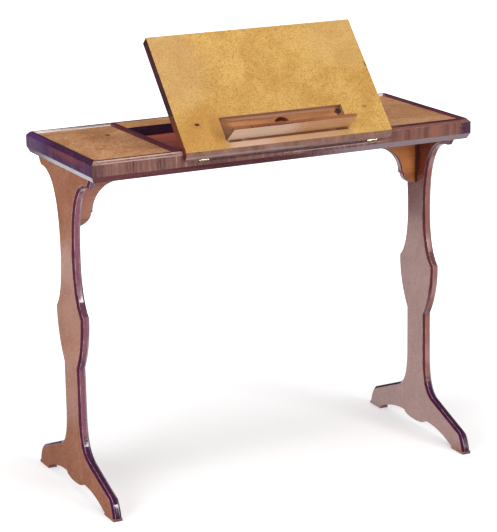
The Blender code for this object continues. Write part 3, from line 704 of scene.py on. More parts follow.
# Recess walls in lighter, pinker tones that hold painted bounce light
RECESS_WALL = WoodFinish(
    "recess_wall_wood", Figure.GRAIN, ((0.16, 0.070, 0.042), (0.34, 0.168, 0.112), (0.50, 0.285, 0.205)),
    roughness=0.4, coat=0.2, ground=SLOPE_GROUND,
)
UNDER_MAHOGANY = WoodFinish(
    "slope_back_mahogany", Figure.GRAIN,
    ((0.075, 0.021, 0.012), (0.19, 0.060, 0.030), (0.30, 0.110, 0.055)),
    roughness=0.5, coat=0.0, ground=SLOPE_GROUND,
)
LEDGE_VENEER = WoodFinish(
    "ledge_veneer", Figure.GRAIN, ((0.28, 0.118, 0.048), (0.49, 0.245, 0.115), (0.60, 0.370, 0.210)),
    roughness=0.40, ground=LEDGE_GROUND, coat=0.1, specular=0.25,
    # Painted light on the left half of the ledge's outer face
    spots=(Spot((-0.095, 0.0, 0.02), (0.125, 0.2, 0.2), (0.62, 0.440, 0.330), 0.80, 0.7),),
)
LEDGE_LIPPING = WoodFinish(
    "ledge_lipping", Figure.GRAIN, ((0.115, 0.032, 0.011), (0.26, 0.090, 0.036), (0.35, 0.138, 0.056)),
    roughness=0.3, ground=LEDGE_GROUND,
)
# Ledge ends and pivot edge: dark for the end grain, and as painted shade along the pivot edge
LEDGE_END_AND_SHADE = WoodFinish(
    "ledge_end_grain", Figure.GRAIN, ((0.050, 0.020, 0.013), (0.130, 0.060, 0.036), (0.22, 0.110, 0.065)),
    density=2.0, roughness=0.4, coat=0.2, ground=LEDGE_GROUND,
)
LEDGE_BED = WoodFinish(
    "ledge_face_burr", Figure.BURR, ((0.28, 0.128, 0.030), (0.49, 0.275, 0.064), (0.57, 0.350, 0.098)),
    roughness=0.42, coat=0.0, ground=LEDGE_GROUND, specular=0.25,
)
PANEL_VENEER = WoodFinish(
    "end_panel_veneer", Figure.BURR, ((0.17, 0.042, 0.014), (0.470, 0.215, 0.094), (0.66, 0.350, 0.170)),
    density=0.8, roughness=0.45, coat=0.0, rubbed=(0.60, 0.38, 0.21), wear=0.5, specular=0.2,
    spots=(
        Spot((0.330, 0.0, 0.7155), (0.10, 0.25, 0.05), (0.53, 0.275, 0.132), 0.30, 0.3, 1.0),
        Spot((-0.2835, 0.0728, 0.7155), (0.0054, 0.0088, 0.02), (0.03, 0.010, 0.008), 1.0, 0.6),
    ),
)
STRIP_VENEER = WoodFinish(
    "rear_strip_veneer", Figure.BURR, ((0.30, 0.115, 0.042), (0.52, 0.235, 0.090), (0.64, 0.33, 0.145)),
    roughness=0.45, coat=0.0, wear=0.5, specular=0.2,
)
RAIL_CROSSBAND = WoodFinish(
    "rail_crossband", Figure.GRAIN, ((0.045, 0.017, 0.016), (0.20, 0.093, 0.076), (0.42, 0.235, 0.195)),
    run=GrainRun.ALONG_Z, density=3.6, coat_roughness=0.04,
    spots=(
        rail_spot((0.330, 0.7000), (0.120, 0.080), (0.190, 0.068, 0.048), 0.45, 1.2),
        rail_spot((-0.160, 0.7000), (0.035, 0.030), (0.070, 0.028, 0.028), 0.55, 2.0),
        rail_spot((-0.412, 0.7000), (0.020, 0.030), (0.060, 0.020, 0.028), 0.60, 1.6),
        rail_spot((0.060, 0.7000), (0.045, 0.030), (0.075, 0.030, 0.030), 0.45, 2.0),
        rail_spot((0.268, 0.7000), (0.006, 0.060), (0.075, 0.028, 0.022), 0.40, 1.4),
        rail_spot((0.312, 0.7000), (0.005, 0.060), (0.075, 0.028, 0.022), 0.40, 1.4),
        rail_spot((0.335, 0.7000), (0.012, 0.060), (0.300, 0.120, 0.080), 0.45, 1.8),
        rail_spot((0.360, 0.7000), (0.005, 0.060), (0.075, 0.028, 0.022), 0.40, 1.4),
        rail_spot((0.415, 0.7000), (0.024, 0.034), (0.045, 0.012, 0.045), 0.85, 2.4),
        # Painted shadow line in the gap under the slope's front edge, then a painted highlight on the rail's
        # top arris
        rail_spot((0.0, 0.6978), (0.2275, 0.0018), (0.060, 0.014, 0.026), 0.90, 0.4, 1.0),
        rail_spot((0.100, 0.6940), (0.128, 0.0009), (0.46, 0.34, 0.34), 0.60, 1.6, 1.0),
    ),
)
RAIL_CHAMFER = WoodFinish(
    "rail_chamfer_crossband", Figure.GRAIN,
    ((0.060, 0.024, 0.022), (0.22, 0.103, 0.083), (0.41, 0.250, 0.210)),
    run=GrainRun.ALONG_Z, density=1.5, roughness=0.2, coat_roughness=0.04,
    spots=(
        Spot((0.325, -0.1730, 0.7155), (0.100, 0.02, 0.006), (0.170, 0.062, 0.050), 0.70, 0.8, 1.0),
        Spot((0.325, -0.1720, 0.7190), (0.100, 0.02, 0.0018), (0.045, 0.010, 0.022), 0.90, 0.3, 1.0),
        # Painted highlight lines along the chamfer's two arrises
        Spot((-0.322, -0.1745, 0.7182), (0.096, 0.02, 0.0011), (0.62, 0.45, 0.40), 0.62, 1.0, 1.0),
        rail_spot((-0.322, 0.7140), (0.098, 0.0010), (0.56, 0.38, 0.33), 0.52, 1.2, 1.0),
    ),
)
RAIL_BEVEL = WoodFinish(
    "rail_bevel_red", Figure.GRAIN, ((0.050, 0.012, 0.017), (0.130, 0.036, 0.042), (0.21, 0.068, 0.070)),
    density=1.3, roughness=0.3, coat=0.6,
    # Painted reflection of the pale floor on the right part of the bevel
    spots=(Spot((0.330, -0.173, 0.683), (0.270, 0.02, 0.02), (0.205, 0.150, 0.168), 0.80, 1.0),),
)
# The rear rail's lip, near white as a painted highlight, with two dark lines along its top
RAIL_LIP_HIGHLIGHT = WoodFinish(
    "rail_lip_pale", Figure.GRAIN, ((0.58, 0.480, 0.460), (0.88, 0.810, 0.790), (0.93, 0.880, 0.860)),
    density=1.4, roughness=0.16, coat=0.9,
    spots=(
        Spot((0.0, 0.1630, 0.7179), (0.42, 0.02, 0.0008), (0.20, 0.100, 0.140), 0.80, 0.3, 1.0),
        Spot((0.0, 0.1630, 0.7198), (0.42, 0.02, 0.0010), (0.02, 0.008, 0.020), 0.95, 0.2, 1.0),
    ),
)
RAIL_TOP = WoodFinish(
    "rail_top_plum", Figure.GRAIN, ((0.012, 0.004, 0.012), (0.035, 0.010, 0.026), (0.08, 0.026, 0.045)),
    density=1.3, roughness=0.30, coat=0.3, specular=0.3,
)
END_BEVEL = WoodFinish(
    "end_rail_bevel", Figure.GRAIN, ((0.060, 0.035, 0.050), (0.16, 0.100, 0.130), (0.26, 0.180, 0.210)),
    run=GrainRun.ALONG_Y, roughness=0.14, coat=1.0, coat_roughness=0.03,
)
END_CHAMFER = WoodFinish(
    "end_rail_chamfer_plum", Figure.GRAIN,
    ((0.014, 0.003, 0.014), (0.050, 0.009, 0.042), (0.120, 0.030, 0.075)),
    run=GrainRun.ALONG_Z, density=1.3, roughness=0.18,
    spots=(Spot((-0.418, 0.130, 0.716), (0.03, 0.080, 0.03), (0.100, 0.025, 0.160), 0.60, 1.2),),
)
END_LIP = WoodFinish(
    "end_rail_lip", Figure.GRAIN, ((0.070, 0.014, 0.030), (0.160, 0.030, 0.058), (0.26, 0.070, 0.100)),
    run=GrainRun.ALONG_Y, roughness=0.2,
)
END_ROSEWOOD = WoodFinish(
    "end_rail_rosewood", Figure.GRAIN, ((0.026, 0.009, 0.030), (0.090, 0.036, 0.088), (0.22, 0.100, 0.165)),
    run=GrainRun.ALONG_Z, density=1.3, roughness=0.18,
    spots=(
        # Painted reflection: a reddish patch on the end rail's outer face towards the front
        Spot((-0.4203, -0.0500, 0.7075), (0.02, 0.100, 0.0085), (0.22, 0.045, 0.045), 0.60, 2.4),
        Spot((-0.4203, 0.1500, 0.7000), (0.02, 0.070, 0.030), (0.17, 0.100, 0.200), 0.50, 1.6),
    ),
)
DIVIDER_ROSEWOOD = WoodFinish(
    "divider_rosewood", Figure.GRAIN, ((0.030, 0.007, 0.013), (0.115, 0.011, 0.032), (0.21, 0.032, 0.052)),
    run=GrainRun.ALONG_Y, roughness=0.30, rubbed=(0.30, 0.060, 0.070), wear=0.25, coat=0.2, specular=0.3,
)
# Walls of the well, painted near black for the shade inside it
WELL_WALL_SHADE = WoodFinish(
    "well_wall_stained", Figure.GRAIN,
    ((0.013, 0.006, 0.011), (0.027, 0.013, 0.038), (0.048, 0.024, 0.058)),
    roughness=0.5, coat=0.0,
)
WELL_MAHOGANY = WoodFinish(
    "well_mahogany", Figure.GRAIN, ((0.21, 0.040, 0.030), (0.44, 0.100, 0.070), (0.60, 0.170, 0.110)),
    roughness=0.5, coat=0.0,
)
PROP_MAHOGANY = WoodFinish(
    "prop_mahogany", Figure.GRAIN, ((0.085, 0.024, 0.012), (0.21, 0.066, 0.032), (0.32, 0.120, 0.060)),
    run=GrainRun.ALONG_Z, roughness=0.42, coat=0.1,
)
STANDARD_VENEER = WoodFinish(
    "standard_veneer", Figure.BURR, ((0.24, 0.078, 0.038), (0.350, 0.137, 0.072), (0.415, 0.178, 0.102)),
    run=GrainRun.ALONG_Z, roughness=0.20, coat=0.9, wear=0.5,
)
FOOT_VENEER = replace(STANDARD_VENEER, name="foot_veneer", run=GrainRun.ALONG_Y)
# Inner faces: the standard's veneer in greyer tones as a painted sheen, with a darker, bluer patch at the
# right one's neck and painted shade high up under the top
INNER_VENEER = replace(
    STANDARD_VENEER, name="standard_inner_veneer",
    tones=((0.19, 0.078, 0.058), (0.29, 0.132, 0.094), (0.34, 0.168, 0.125)),
    spots=(
        Spot((0.390, 0.0, 0.520), (0.03, 0.100, 0.050), (0.18, 0.100, 0.115), 0.55, 0.9),
        Spot((0.390, 0.0, 0.650), (0.03, 0.200, 0.098), (0.100, 0.010, 0.010), 0.95, 0.6, 1.0),
    ),
)
# Edges of the standards; the pale pink tone that their arris wear brings in is a painted highlight line
EDGE_ROSEWOOD = WoodFinish(
    "standard_edge_rosewood", Figure.GRAIN,
    ((0.09, 0.031, 0.050), (0.225, 0.086, 0.117), (0.31, 0.130, 0.155)),
    run=GrainRun.ALONG_Z, roughness=0.12, coat=0.9, rubbed=(0.66, 0.46, 0.46), wear=0.9,
    coat_roughness=0.04, relief=0.12,
    spots=(
        Spot((0.400, 0.0, 0.350), (0.100, 0.300, 0.400), (0.30, 0.130, 0.095), 0.70, 0.2, 1.0),
        Spot((0.0, 0.0, 0.668), (0.500, 0.200, 0.012), (0.035, 0.028, 0.058), 0.85, 0.8, 1.0),
        # Painted dark reflection on the edge where it turns upwards, just below the shoulder's highlight
        Spot((0.0, 0.0, 0.398), (0.500, 0.080, 0.014), (0.032, 0.008, 0.042), 0.88, 0.6, 1.0),
        Spot((0.0, 0.0, 0.276), (0.500, 0.080, 0.011), (0.070, 0.045, 0.130), 0.60, 0.8, 1.0),
        # Painted dark reflection on the edge at the lower flare, where it turns upwards
        Spot((0.0, 0.0, 0.112), (0.500, 0.080, 0.018), (0.035, 0.008, 0.036), 0.85, 0.6, 1.0),
    ),
)
CHAMFER_PLUM = replace(
    EDGE_ROSEWOOD, name="standard_chamfer_plum",
    tones=((0.030, 0.006, 0.015), (0.085, 0.016, 0.036), (0.150, 0.040, 0.060)),
    spots=(Spot((0.400, 0.0, 0.350), (0.100, 0.300, 0.400), (0.100, 0.024, 0.024), 0.70, 0.2, 1.0),),
)
# Foot edges and chamfers: darker tones than the upright's, painted for the dark reflection on their upturned
# faces; the lilac tone on their arrises is a painted highlight line
FOOT_EDGE = replace(
    EDGE_ROSEWOOD, name="foot_edge_rosewood",
    tones=((0.016, 0.004, 0.020), (0.044, 0.011, 0.040), (0.100, 0.034, 0.072)),
    rubbed=(0.72, 0.46, 0.62), wear=0.75, spots=(),
)
FOOT_CHAMFER = replace(
    FOOT_EDGE, name="foot_chamfer_plum",
    tones=((0.016, 0.003, 0.014), (0.055, 0.006, 0.030), (0.120, 0.020, 0.055)),
)
LEFT_BRACKET_VENEER = WoodFinish(
    "left_bracket_veneer", Figure.GRAIN, ((0.28, 0.110, 0.072), (0.47, 0.205, 0.145), (0.58, 0.290, 0.210)),
    coat=0.8, wear=0.5,
)
RIGHT_BRACKET_VENEER = replace(
    LEFT_BRACKET_VENEER, name="right_bracket_veneer",
    tones=((0.26, 0.080, 0.022), (0.46, 0.160, 0.046), (0.56, 0.225, 0.080)),
    # Painted shade along the bracket's joint with the upright
    spots=(Spot((0.3915, 0.0, 0.62), (0.007, 0.03, 0.09), (0.025, 0.006, 0.012), 0.85, 0.4, 1.0),),
)
PAD_WOOD = WoodFinish(
    "toe_pad_wood", Figure.GRAIN, ((0.070, 0.022, 0.030), (0.19, 0.066, 0.078), (0.30, 0.120, 0.120)),
    run=GrainRun.ALONG_Y, roughness=0.35, coat=0.3, wear=0.4,
)
OLD_BRASS = BrassFinish()


def unit(vectors: np.ndarray) -> np.ndarray:
    """Vectors divided by their lengths."""
    return vectors / np.maximum(np.linalg.norm(vectors, axis=-1, keepdims=True), 1e-12)


def bezier(start: Point, first: Point, second: Point, end: Point) -> np.ndarray:
    """Points of a cubic curve without its start: the Bernstein-weighted sum of its four corners.

    Args:
        start: where the curve begins.
        first: handle at the beginning.
        second: handle at the end.
        end: where the curve ends.

    Returns:
        An array of (CURVE_STEPS, 2).
    """
    t = np.linspace(0.0, 1.0, CURVE_STEPS + 1)[1:, None]
    corners = np.array([start, first, second, end], float)
    weights = np.hstack([(1 - t) ** 3, 3 * t * (1 - t) ** 2, 3 * t * t * (1 - t), t**3])
    return weights @ corners


def pulled(start: Point, towards: Point, pull: Pair) -> np.ndarray:
    """A curve's handle: the start, moved by a share of the way towards a point, across and up."""
    return np.array(start) + np.array(pull) * (np.array(towards) - np.array(start))


def ellipse(centre: Point, half: Pair, span: Pair, steps: int = 24) -> np.ndarray:
    """Points of part of an ellipse without its first: centre plus half sizes times cosine and sine.

    Args:
        centre: its middle.
        half: half its width and half its height.
        span: angles in degrees where it begins and ends.
        steps: number of points.

    Returns:
        An array of (steps, 2).
    """
    angle = np.radians(np.linspace(*span, steps + 1)[1:])
    return np.column_stack([centre[0] + half[0] * np.cos(angle), centre[1] + half[1] * np.sin(angle)])


def rounded(corners: np.ndarray, reach: float, steps: int = 4) -> np.ndarray:
    """An open line with its inner corners rounded.

    Each corner P between unit directions a and b becomes P + reach((1 - s)^2 a + s^2 b).

    Args:
        corners: points of the line.
        reach: how far from a corner the rounding starts.
        steps: points on each rounding.

    Returns:
        The points of the rounded line.
    """
    before = unit(corners[:-2] - corners[1:-1])[:, None]
    after = unit(corners[2:] - corners[1:-1])[:, None]
    s = np.linspace(0.0, 1.0, steps)[None, :, None]
    arcs = corners[1:-1, None] + reach * ((1 - s) ** 2 * before + s**2 * after)
    return np.vstack([corners[:1], arcs.reshape(-1, 2), corners[-1:]])


def inset_vectors(outline: np.ndarray, soft: np.ndarray) -> np.ndarray:
    """How each point of a closed outline moves when its soft sides move in by one unit.

    The vector v of a point meets n1.v = c1 and n2.v = c2 for the inward normals n of the sides
    before and after it, with c one on a soft side and nought on a hard one.

    Args:
        outline: closed outline, points in order.
        soft: whether the side after each point is soft.

    Returns:
        An array with one vector for each point.
    """
    side = np.roll(outline, -1, axis=0) - outline
    x, y = outline.T
    turn = np.sign(np.sum(x * np.roll(y, -1) - np.roll(x, -1) * y))
    normal = turn * unit(np.column_stack([-side[:, 1], side[:, 0]]))
    n1, n2 = np.roll(normal, 1, axis=0), normal
    c2 = soft.astype(float)
    c1 = np.roll(c2, 1)
    dot = np.sum(n1 * n2, axis=1)
    even = (n1 + n2) * (c1 / np.maximum(1 + dot, SHARPEST_MITRE))[:, None]
    cross = n1[:, 0] * n2[:, 1] - n1[:, 1] * n2[:, 0]
    cross = np.where(np.abs(cross) < NEARLY_STRAIGHT, np.inf, cross)
    solved = np.column_stack([c1 * n2[:, 1] - c2 * n1[:, 1], c2 * n1[:, 0] - c1 * n2[:, 0]]) / cross[:, None]
    return np.where((c1 == c2)[:, None], even, solved)


@dataclass
class Shell:
    """A closed surface over a grid: rings of points, each ring closed, with flat ends."""

    name: str
    rings: np.ndarray
    slots: np.ndarray
    wear: np.ndarray
    end_slots: tuple[int, int] = (0, 0)
    held: bool = False

    def make(self, finishes: Sequence[Finish], body: Body, slot: Slot, *nodes: str) -> bpy.types.Object:
        """Put the surface into the scene.

        Point (k, m) joins (k + 1, m) along and (k, m + 1) round the ring; the signed volume
        under the faces tells whether they point outwards, and turns them round if not.

        Args:
            finishes: the piece's finishes in the order of its slots.
            body: the body that it moves with.
            slot: the record's slot for its finish.
            *nodes: the CAD nodes that it stands for.

        Returns:
            The new object.
        """
        count, around = self.rings.shape[:2]
        index = np.arange(count * around).reshape(count, around)
        turned = np.roll(index, -1, axis=1)
        quads = np.stack([index[:-1], turned[:-1], turned[1:], index[1:]], axis=-1).reshape(-1, 4)
        points = self.rings.reshape(-1, 3)
        first, last = index[0, ::-1], index[-1]
        corners = points[quads] - points.mean(axis=0)
        volume = np.einsum("ij,ij->i", corners[:, 0], np.cross(corners[:, 1], corners[:, 2])).sum()
        volume += np.einsum("ij,ij->i", corners[:, 0], np.cross(corners[:, 2], corners[:, 3])).sum()
        if volume < 0:
            quads, first, last = quads[:, ::-1], first[::-1], last[::-1]
        mesh = bpy.data.meshes.new(self.name)
        mesh.from_pydata(points.tolist(), [], quads.tolist() + [first.tolist(), last.tolist()])
        face_slots = np.broadcast_to(self.slots, (count - 1, around)).reshape(-1)
        face_slots = np.concatenate([face_slots, self.end_slots]).astype(np.int32)
        mesh.polygons.foreach_set("material_index", face_slots)
        mesh.polygons.foreach_set("use_smooth", np.arange(len(face_slots)) < len(quads))
        layer = mesh.attributes.new("wear", "FLOAT", "POINT")
        wear = np.broadcast_to(self.wear, (count, around)).reshape(-1)
        layer.data.foreach_set("value", wear.astype(np.float32))
        mesh.set_sharp_from_angle(angle=SHARP_ANGLE)
        piece = place_piece(self.name, mesh, finishes, body, slot, *nodes)
        if self.held:
            piece.modifiers.new("flat_faces_held", "WEIGHTED_NORMAL").keep_sharp = True
        return piece


def place_piece(
    name: str, mesh: bpy.types.Mesh, finishes: Sequence[Finish], body: Body, slot: Slot, *nodes: str
) -> bpy.types.Object:
    """Put a mesh into the scene as a piece of the table.

    Args:
        name: the piece's name.
        mesh: its mesh.
        finishes: its finishes in the order of the mesh's slots.
        body: the body that it moves with.
        slot: the record's slot for its finish; not used.
        *nodes: the CAD nodes that it stands for.

    Returns:
        The new object.
    """
    for finish in finishes:
        mesh.materials.append(finish.material())
    mesh.validate()
    piece = bpy.data.objects.new(name, mesh)
    bpy.context.scene.collection.objects.link(piece)
    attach(piece, body.value)
    if nodes:
        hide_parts(*nodes)
    LOG.info("%s: %d faces on %s", name, len(mesh.polygons), body.value)
    return piece


@dataclass
class Slab:
    """A board cut to an outline, with chamfered rims and rounded arrises."""

    outline: np.ndarray
    soft: np.ndarray
    thickness: float
    chamfer: float
    arris: float = 0.0007

    def shell(self, name: str, place: Placer) -> Shell:
        """The board as rings of its outline, each moved in and up as the edge's profile says.

        Sides that are not soft stay square.

        Args:
            name: the piece's name.
            place: turns outline coordinates and heights into points.

        Returns:
            The surface, with the slots 0 lower face, 1 chamfers, 2 edge and 3 upper face.
        """
        c, top = self.chamfer, self.thickness
        margin = c + RIM_WIDTH * self.arris
        profile = np.array([(margin, 0.0), (c, 0.0), (0.0, c), (0.0, top - c), (c, top), (margin, top)])
        line = rounded(profile, self.arris)
        inset, height = line.T
        vectors = inset_vectors(self.outline, self.soft)
        moved = self.outline[None] + inset[:, None, None] * vectors[None]
        rings = place(moved[..., 0], moved[..., 1], np.broadcast_to(height[:, None], moved.shape[:2]))
        # Rows of faces on the lower face, its chamfer, the edge, the other chamfer and the upper face
        rows = [2, 5, 3, 5, 2]
        slots = np.repeat([0, 1, 2, 1, 3], rows)[:, None] * np.ones(len(self.outline), int)
        slots[(slots == 1) & ~self.soft[None]] = 2
        # Arris rows carry the wear attribute: real wear on most finishes, a painted highlight line on the
        # standards' edges
        wear = np.zeros(len(line))
        wear[1:-1] = np.tile([0.0, 1.0, 1.0, 0.0], 4)
        return Shell(name, rings, slots, wear[:, None], (0, 3))


def rectangle(low: Point, high: Point, corner: float) -> np.ndarray:
    """A closed rectangle between two corners of a plane, with its corners rounded."""
    box = np.array([(low[0], low[1]), (high[0], low[1]), (high[0], high[1]), (low[0], high[1])], float)
    return rounded(np.vstack([box[-1:], box, box[:1]]), corner)[1:-1]


def flat_board(name: str, node: str, arris: float) -> Shell:
    """A board with eased arrises that fills the box of a CAD node.

    Args:
        name: the piece's name.
        node: the CAD node.
        arris: how far each arris is eased.

    Returns:
        The surface.
    """
    low, high = (np.array(corner, float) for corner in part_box(node))
    outline = rectangle(low[:2], high[:2], BOARD_CORNER * arris)
    slab = Slab(outline, np.ones(len(outline), bool), high[2] - low[2], arris, BOARD_ARRIS * arris)

    def place(a: np.ndarray, b: np.ndarray, h: np.ndarray) -> np.ndarray:
        """Outline on the ground plan, heights upwards."""
        return np.stack([a, b, low[2] + h], axis=-1)

    return slab.shell(name, place)


@dataclass
class CadCopy:
    """A merged copy of a CAD node, with its faces sorted into slots and its arrises eased."""

    node: bpy.types.Object
    arris: float
    arris_steps: int = 3

    def triangles(self) -> tuple[np.ndarray, np.ndarray]:
        """Merged points and triangles of the node.

        Returns:
            Points (n, 3) and triangles (m, 3) that share them.
        """
        mesh = self.node.data
        mesh.calc_loop_triangles()
        points = np.empty(len(mesh.vertices) * 3, np.float32)
        mesh.vertices.foreach_get("co", points)
        faces = np.empty(len(mesh.loop_triangles) * 3, np.int32)
        mesh.loop_triangles.foreach_get("vertices", faces)
        kept, index = np.unique(
            np.round(points.reshape(-1, 3), MERGED_PLACES), axis=0, return_inverse=True
        )
        faces = index.reshape(-1)[faces.reshape(-1, 3)]
        whole = (faces[:, 0] != faces[:, 1]) & (faces[:, 1] != faces[:, 2]) & (faces[:, 2] != faces[:, 0])
        return kept, faces[whole]

    def make(
        self, name: str, finishes: Sequence[Finish], body: Body, slot: Slot, sort: Sorter | None = None
    ) -> bpy.types.Object:
        """Put the copy into the scene in the node's place.

        Args:
            name: the piece's name.
            finishes: its finishes in the order of its slots.
            body: the body that it moves with.
            slot: the record's slot for its finish.
            sort: gives each face's slot from the middles and normals of all faces.

        Returns:
            The new object.
        """
        points, faces = self.triangles()
        mesh = bpy.data.meshes.new(name)
        mesh.from_pydata(points.tolist(), [], faces.tolist())
        if sort is not None:
            corner = points[faces].astype(float)
            normal = unit(np.cross(corner[:, 1] - corner[:, 0], corner[:, 2] - corner[:, 0]))
            mesh.polygons.foreach_set("material_index", sort(corner.mean(axis=1), normal).astype(np.int32))
        piece = place_piece(name, mesh, finishes, body, slot, self.node.name)
        plain = piece.modifiers.new("whole_faces", "DECIMATE")
        plain.decimate_type = "DISSOLVE"
        plain.angle_limit = PLANE_ANGLE
        plain.delimit = {"MATERIAL"}
        ease = piece.modifiers.new("eased_arrises", "BEVEL")
        ease.width = self.arris
        ease.segments = self.arris_steps
        ease.limit_method = "ANGLE"
        ease.angle_limit = ARRIS_ANGLE
        ease.use_clamp_overlap = True
        return piece


@dataclass
class EndStandard:
    """One end of the table: an upright with two feet, their pads, and the bracket under the top.

    A pull is the share of the way, across and up, from a curve's end to its handle.
    """

    side: Side
    outer: float = 0.4113
    thickness: float = 0.0195
    chamfer: float = 0.0048
    top: float = 0.6771
    nose_half: float = 0.1390
    nose_tip: Pair = (0.1240, 0.6571)
    neck: Pair = (0.0352, 0.4960)
    shoulder: Pair = (0.0686, 0.3830)
    waist: Pair = (0.0374, 0.2690)
    flare: Pair = (0.0374, 0.1700)
    instep: Pair = (0.0720, 0.0865)
    toe_top: Pair = (0.1785, 0.0455)
    toe: Pair = (0.2005, 0.0058)
    heel: Pair = (0.1525, 0.0058)
    arch: Pair = (0.0439, 0.0300)
    arch_crown: float = 0.0070
    pendant: float = 0.0195
    joint_gap: float = 0.0003
    bracket_thickness: float = 0.0190
    bracket_chamfer: float = 0.0028
    bracket_centre: float = 0.0970
    bracket_arc: float = 0.0590
    bracket_fillet: float = 0.0030
    bracket_ovolo: float = 0.0260
    bracket_arris: float = 0.0006
    pad_arris: float = 0.0005
    tip_pull: Pair = (0.65, 0.0)
    hollow_pull: Pair = (0.0, 0.72)
    neck_pull: Pair = (0.0, 0.52)
    shoulder_pull: Pair = (0.62, 0.15)
    lower_pull: Pair = (0.07, 0.33)
    waist_pull: Pair = (0.65, 0.27)
    flare_pull: Pair = (0.0, 0.63)
    toe_pull: Pair = (0.14, 0.32)
    instep_splay: float = 0.60
    toe_run: float = 0.52

    @property
    def fall(self) -> float:
        """How steeply the foot's straight back falls."""
        return (self.toe_top[1] - self.instep[1]) / (self.toe_top[0] - self.instep[0])

    def upper_half(self) -> np.ndarray:
        """Half outline from the nose down to the flare, in three cubic curves with sharp corners between.

        Returns:
            Points (y, z) from the top down.
        """
        tip, neck, shoulder, waist = self.nose_tip, self.neck, self.shoulder, self.waist
        out = (2 * shoulder[0] - waist[0], waist[1])
        hollow = bezier(tip, pulled(tip, neck, self.tip_pull), pulled(neck, tip, self.hollow_pull), neck)
        handle = pulled(shoulder, neck, self.shoulder_pull)
        swell = bezier(neck, pulled(neck, shoulder, self.neck_pull), handle, shoulder)
        handle = pulled(waist, shoulder, self.waist_pull)
        lower = bezier(shoulder, pulled(shoulder, out, self.lower_pull), handle, waist)
        return np.vstack([[(self.nose_half, self.top)], [tip], hollow, swell, lower, [self.flare]])

    def flare_curve(self) -> np.ndarray:
        """The curve from the shank out to the instep, which leaves along the foot's straight back.

        Returns:
            Points (y, z) from the flare down.
        """
        splay = self.instep_splay * (self.instep[0] - self.flare[0])
        handle = (self.instep[0] - splay, self.instep[1] - splay * self.fall)
        return bezier(self.flare, pulled(self.flare, self.instep, self.flare_pull), handle, self.instep)

    def joint_level(self, across: float) -> float:
        """Height at which the flare's curve is so far from the middle."""
        curve = np.vstack([[self.flare], self.flare_curve()])
        return float(np.interp(across, curve[:, 0], curve[:, 1]))

    def upright_slab(self) -> Slab:
        """The upright, parted from the feet by upright lines, with a square-edged pendant below.

        Returns:
            The board with its outline of (y, z).
        """
        base, spring = self.arch
        curve = self.flare_curve()
        joint = (base, self.joint_level(base))
        upper = np.vstack([self.upper_half(), curve[curve[:, 0] < base - NEAR], [joint]])
        lower = np.vstack([[self.arch], ellipse((0.0, spring), (base, self.pendant - spring), (0.0, 90.0))])
        half = np.vstack([upper, lower])
        soft = np.arange(len(half)) < len(upper) - 1
        outline = np.vstack([half, half[-2::-1] * (-1.0, 1.0)])
        return Slab(outline, np.concatenate([soft[:-1], soft[-2::-1], [False]]), self.thickness, self.chamfer)

    def foot_slab(self, end: End) -> Slab:
        """A foot, from its joint over the toe and back under the arch.

        Args:
            end: front or rear.

        Returns:
            The board with its outline of (y, z).
        """
        base = self.arch[0] + self.joint_gap
        joint = (base, self.joint_level(base))
        curve = self.flare_curve()
        run = self.toe_run * (self.toe[0] - self.toe_top[0])
        handle = np.array(self.toe_top) + run * np.array((1.0, self.fall))
        nose = bezier(self.toe_top, handle, pulled(self.toe, self.toe_top, self.toe_pull), self.toe)
        t = np.linspace(0.0, 1.0, CURVE_STEPS + 1)[:, None]
        heel, arch = np.array(self.heel), np.array(self.arch)
        bow = heel + t * (arch - heel) + np.array((0.0, 4 * self.arch_crown)) * t * (1 - t)
        bow = np.vstack([bow[bow[:, 0] > base + NEAR], [(base, self.arch[1])]])
        back = np.vstack([[joint], curve[curve[:, 0] > base + NEAR], [self.toe_top], nose])
        points = np.vstack([back, bow])
        soft = np.arange(len(points)) < len(back) - 1
        return Slab(points * (float(end.value), 1.0), soft, self.thickness, self.chamfer)

    def across(self, a: np.ndarray, b: np.ndarray, h: np.ndarray) -> np.ndarray:
        """Place an outline of (y, z) at the end, heights running in from its outer face."""
        return np.stack([self.side.value * (self.outer - h), a, b], axis=-1)

    def build(self) -> None:
        """Build and dress the standard's pieces."""
        finishes = (STANDARD_VENEER, CHAMFER_PLUM, EDGE_ROSEWOOD, INNER_VENEER)
        shell = self.upright_slab().shell(f"{self.side.word}_shaped_upright", self.across)
        shell.held = True
        shell.make(finishes, Body.TABLE, Slot.BROWN, f"{self.side.word}_upright")
        finishes = (FOOT_VENEER, FOOT_CHAMFER, FOOT_EDGE, INNER_VENEER)
        pad_finishes = (FOOT_VENEER, PAD_WOOD, PAD_WOOD, INNER_VENEER)
        for end in End:
            name = f"{self.side.word}_{end.word}"
            shell = self.foot_slab(end).shell(f"{name}_shaped_foot", self.across)
            shell.held = True
            shell.make(finishes, Body.TABLE, Slot.BROWN, f"{name}_foot")
            pad = flat_board(f"{name}_toe_pad", f"{name}_pad", self.pad_arris)
            spans = np.abs(np.roll(pad.rings, -1, axis=1) - pad.rings)[0]
            inward = np.abs(pad.rings[0, :, 0]) < self.outer - self.thickness / 2
            pad.slots = np.where(spans[:, 1] > spans[:, 0], np.where(inward, 3, 0), pad.slots)
            pad.make(pad_finishes, Body.TABLE, Slot.ROSEWOOD, f"{name}_pad")
        self.build_bracket()

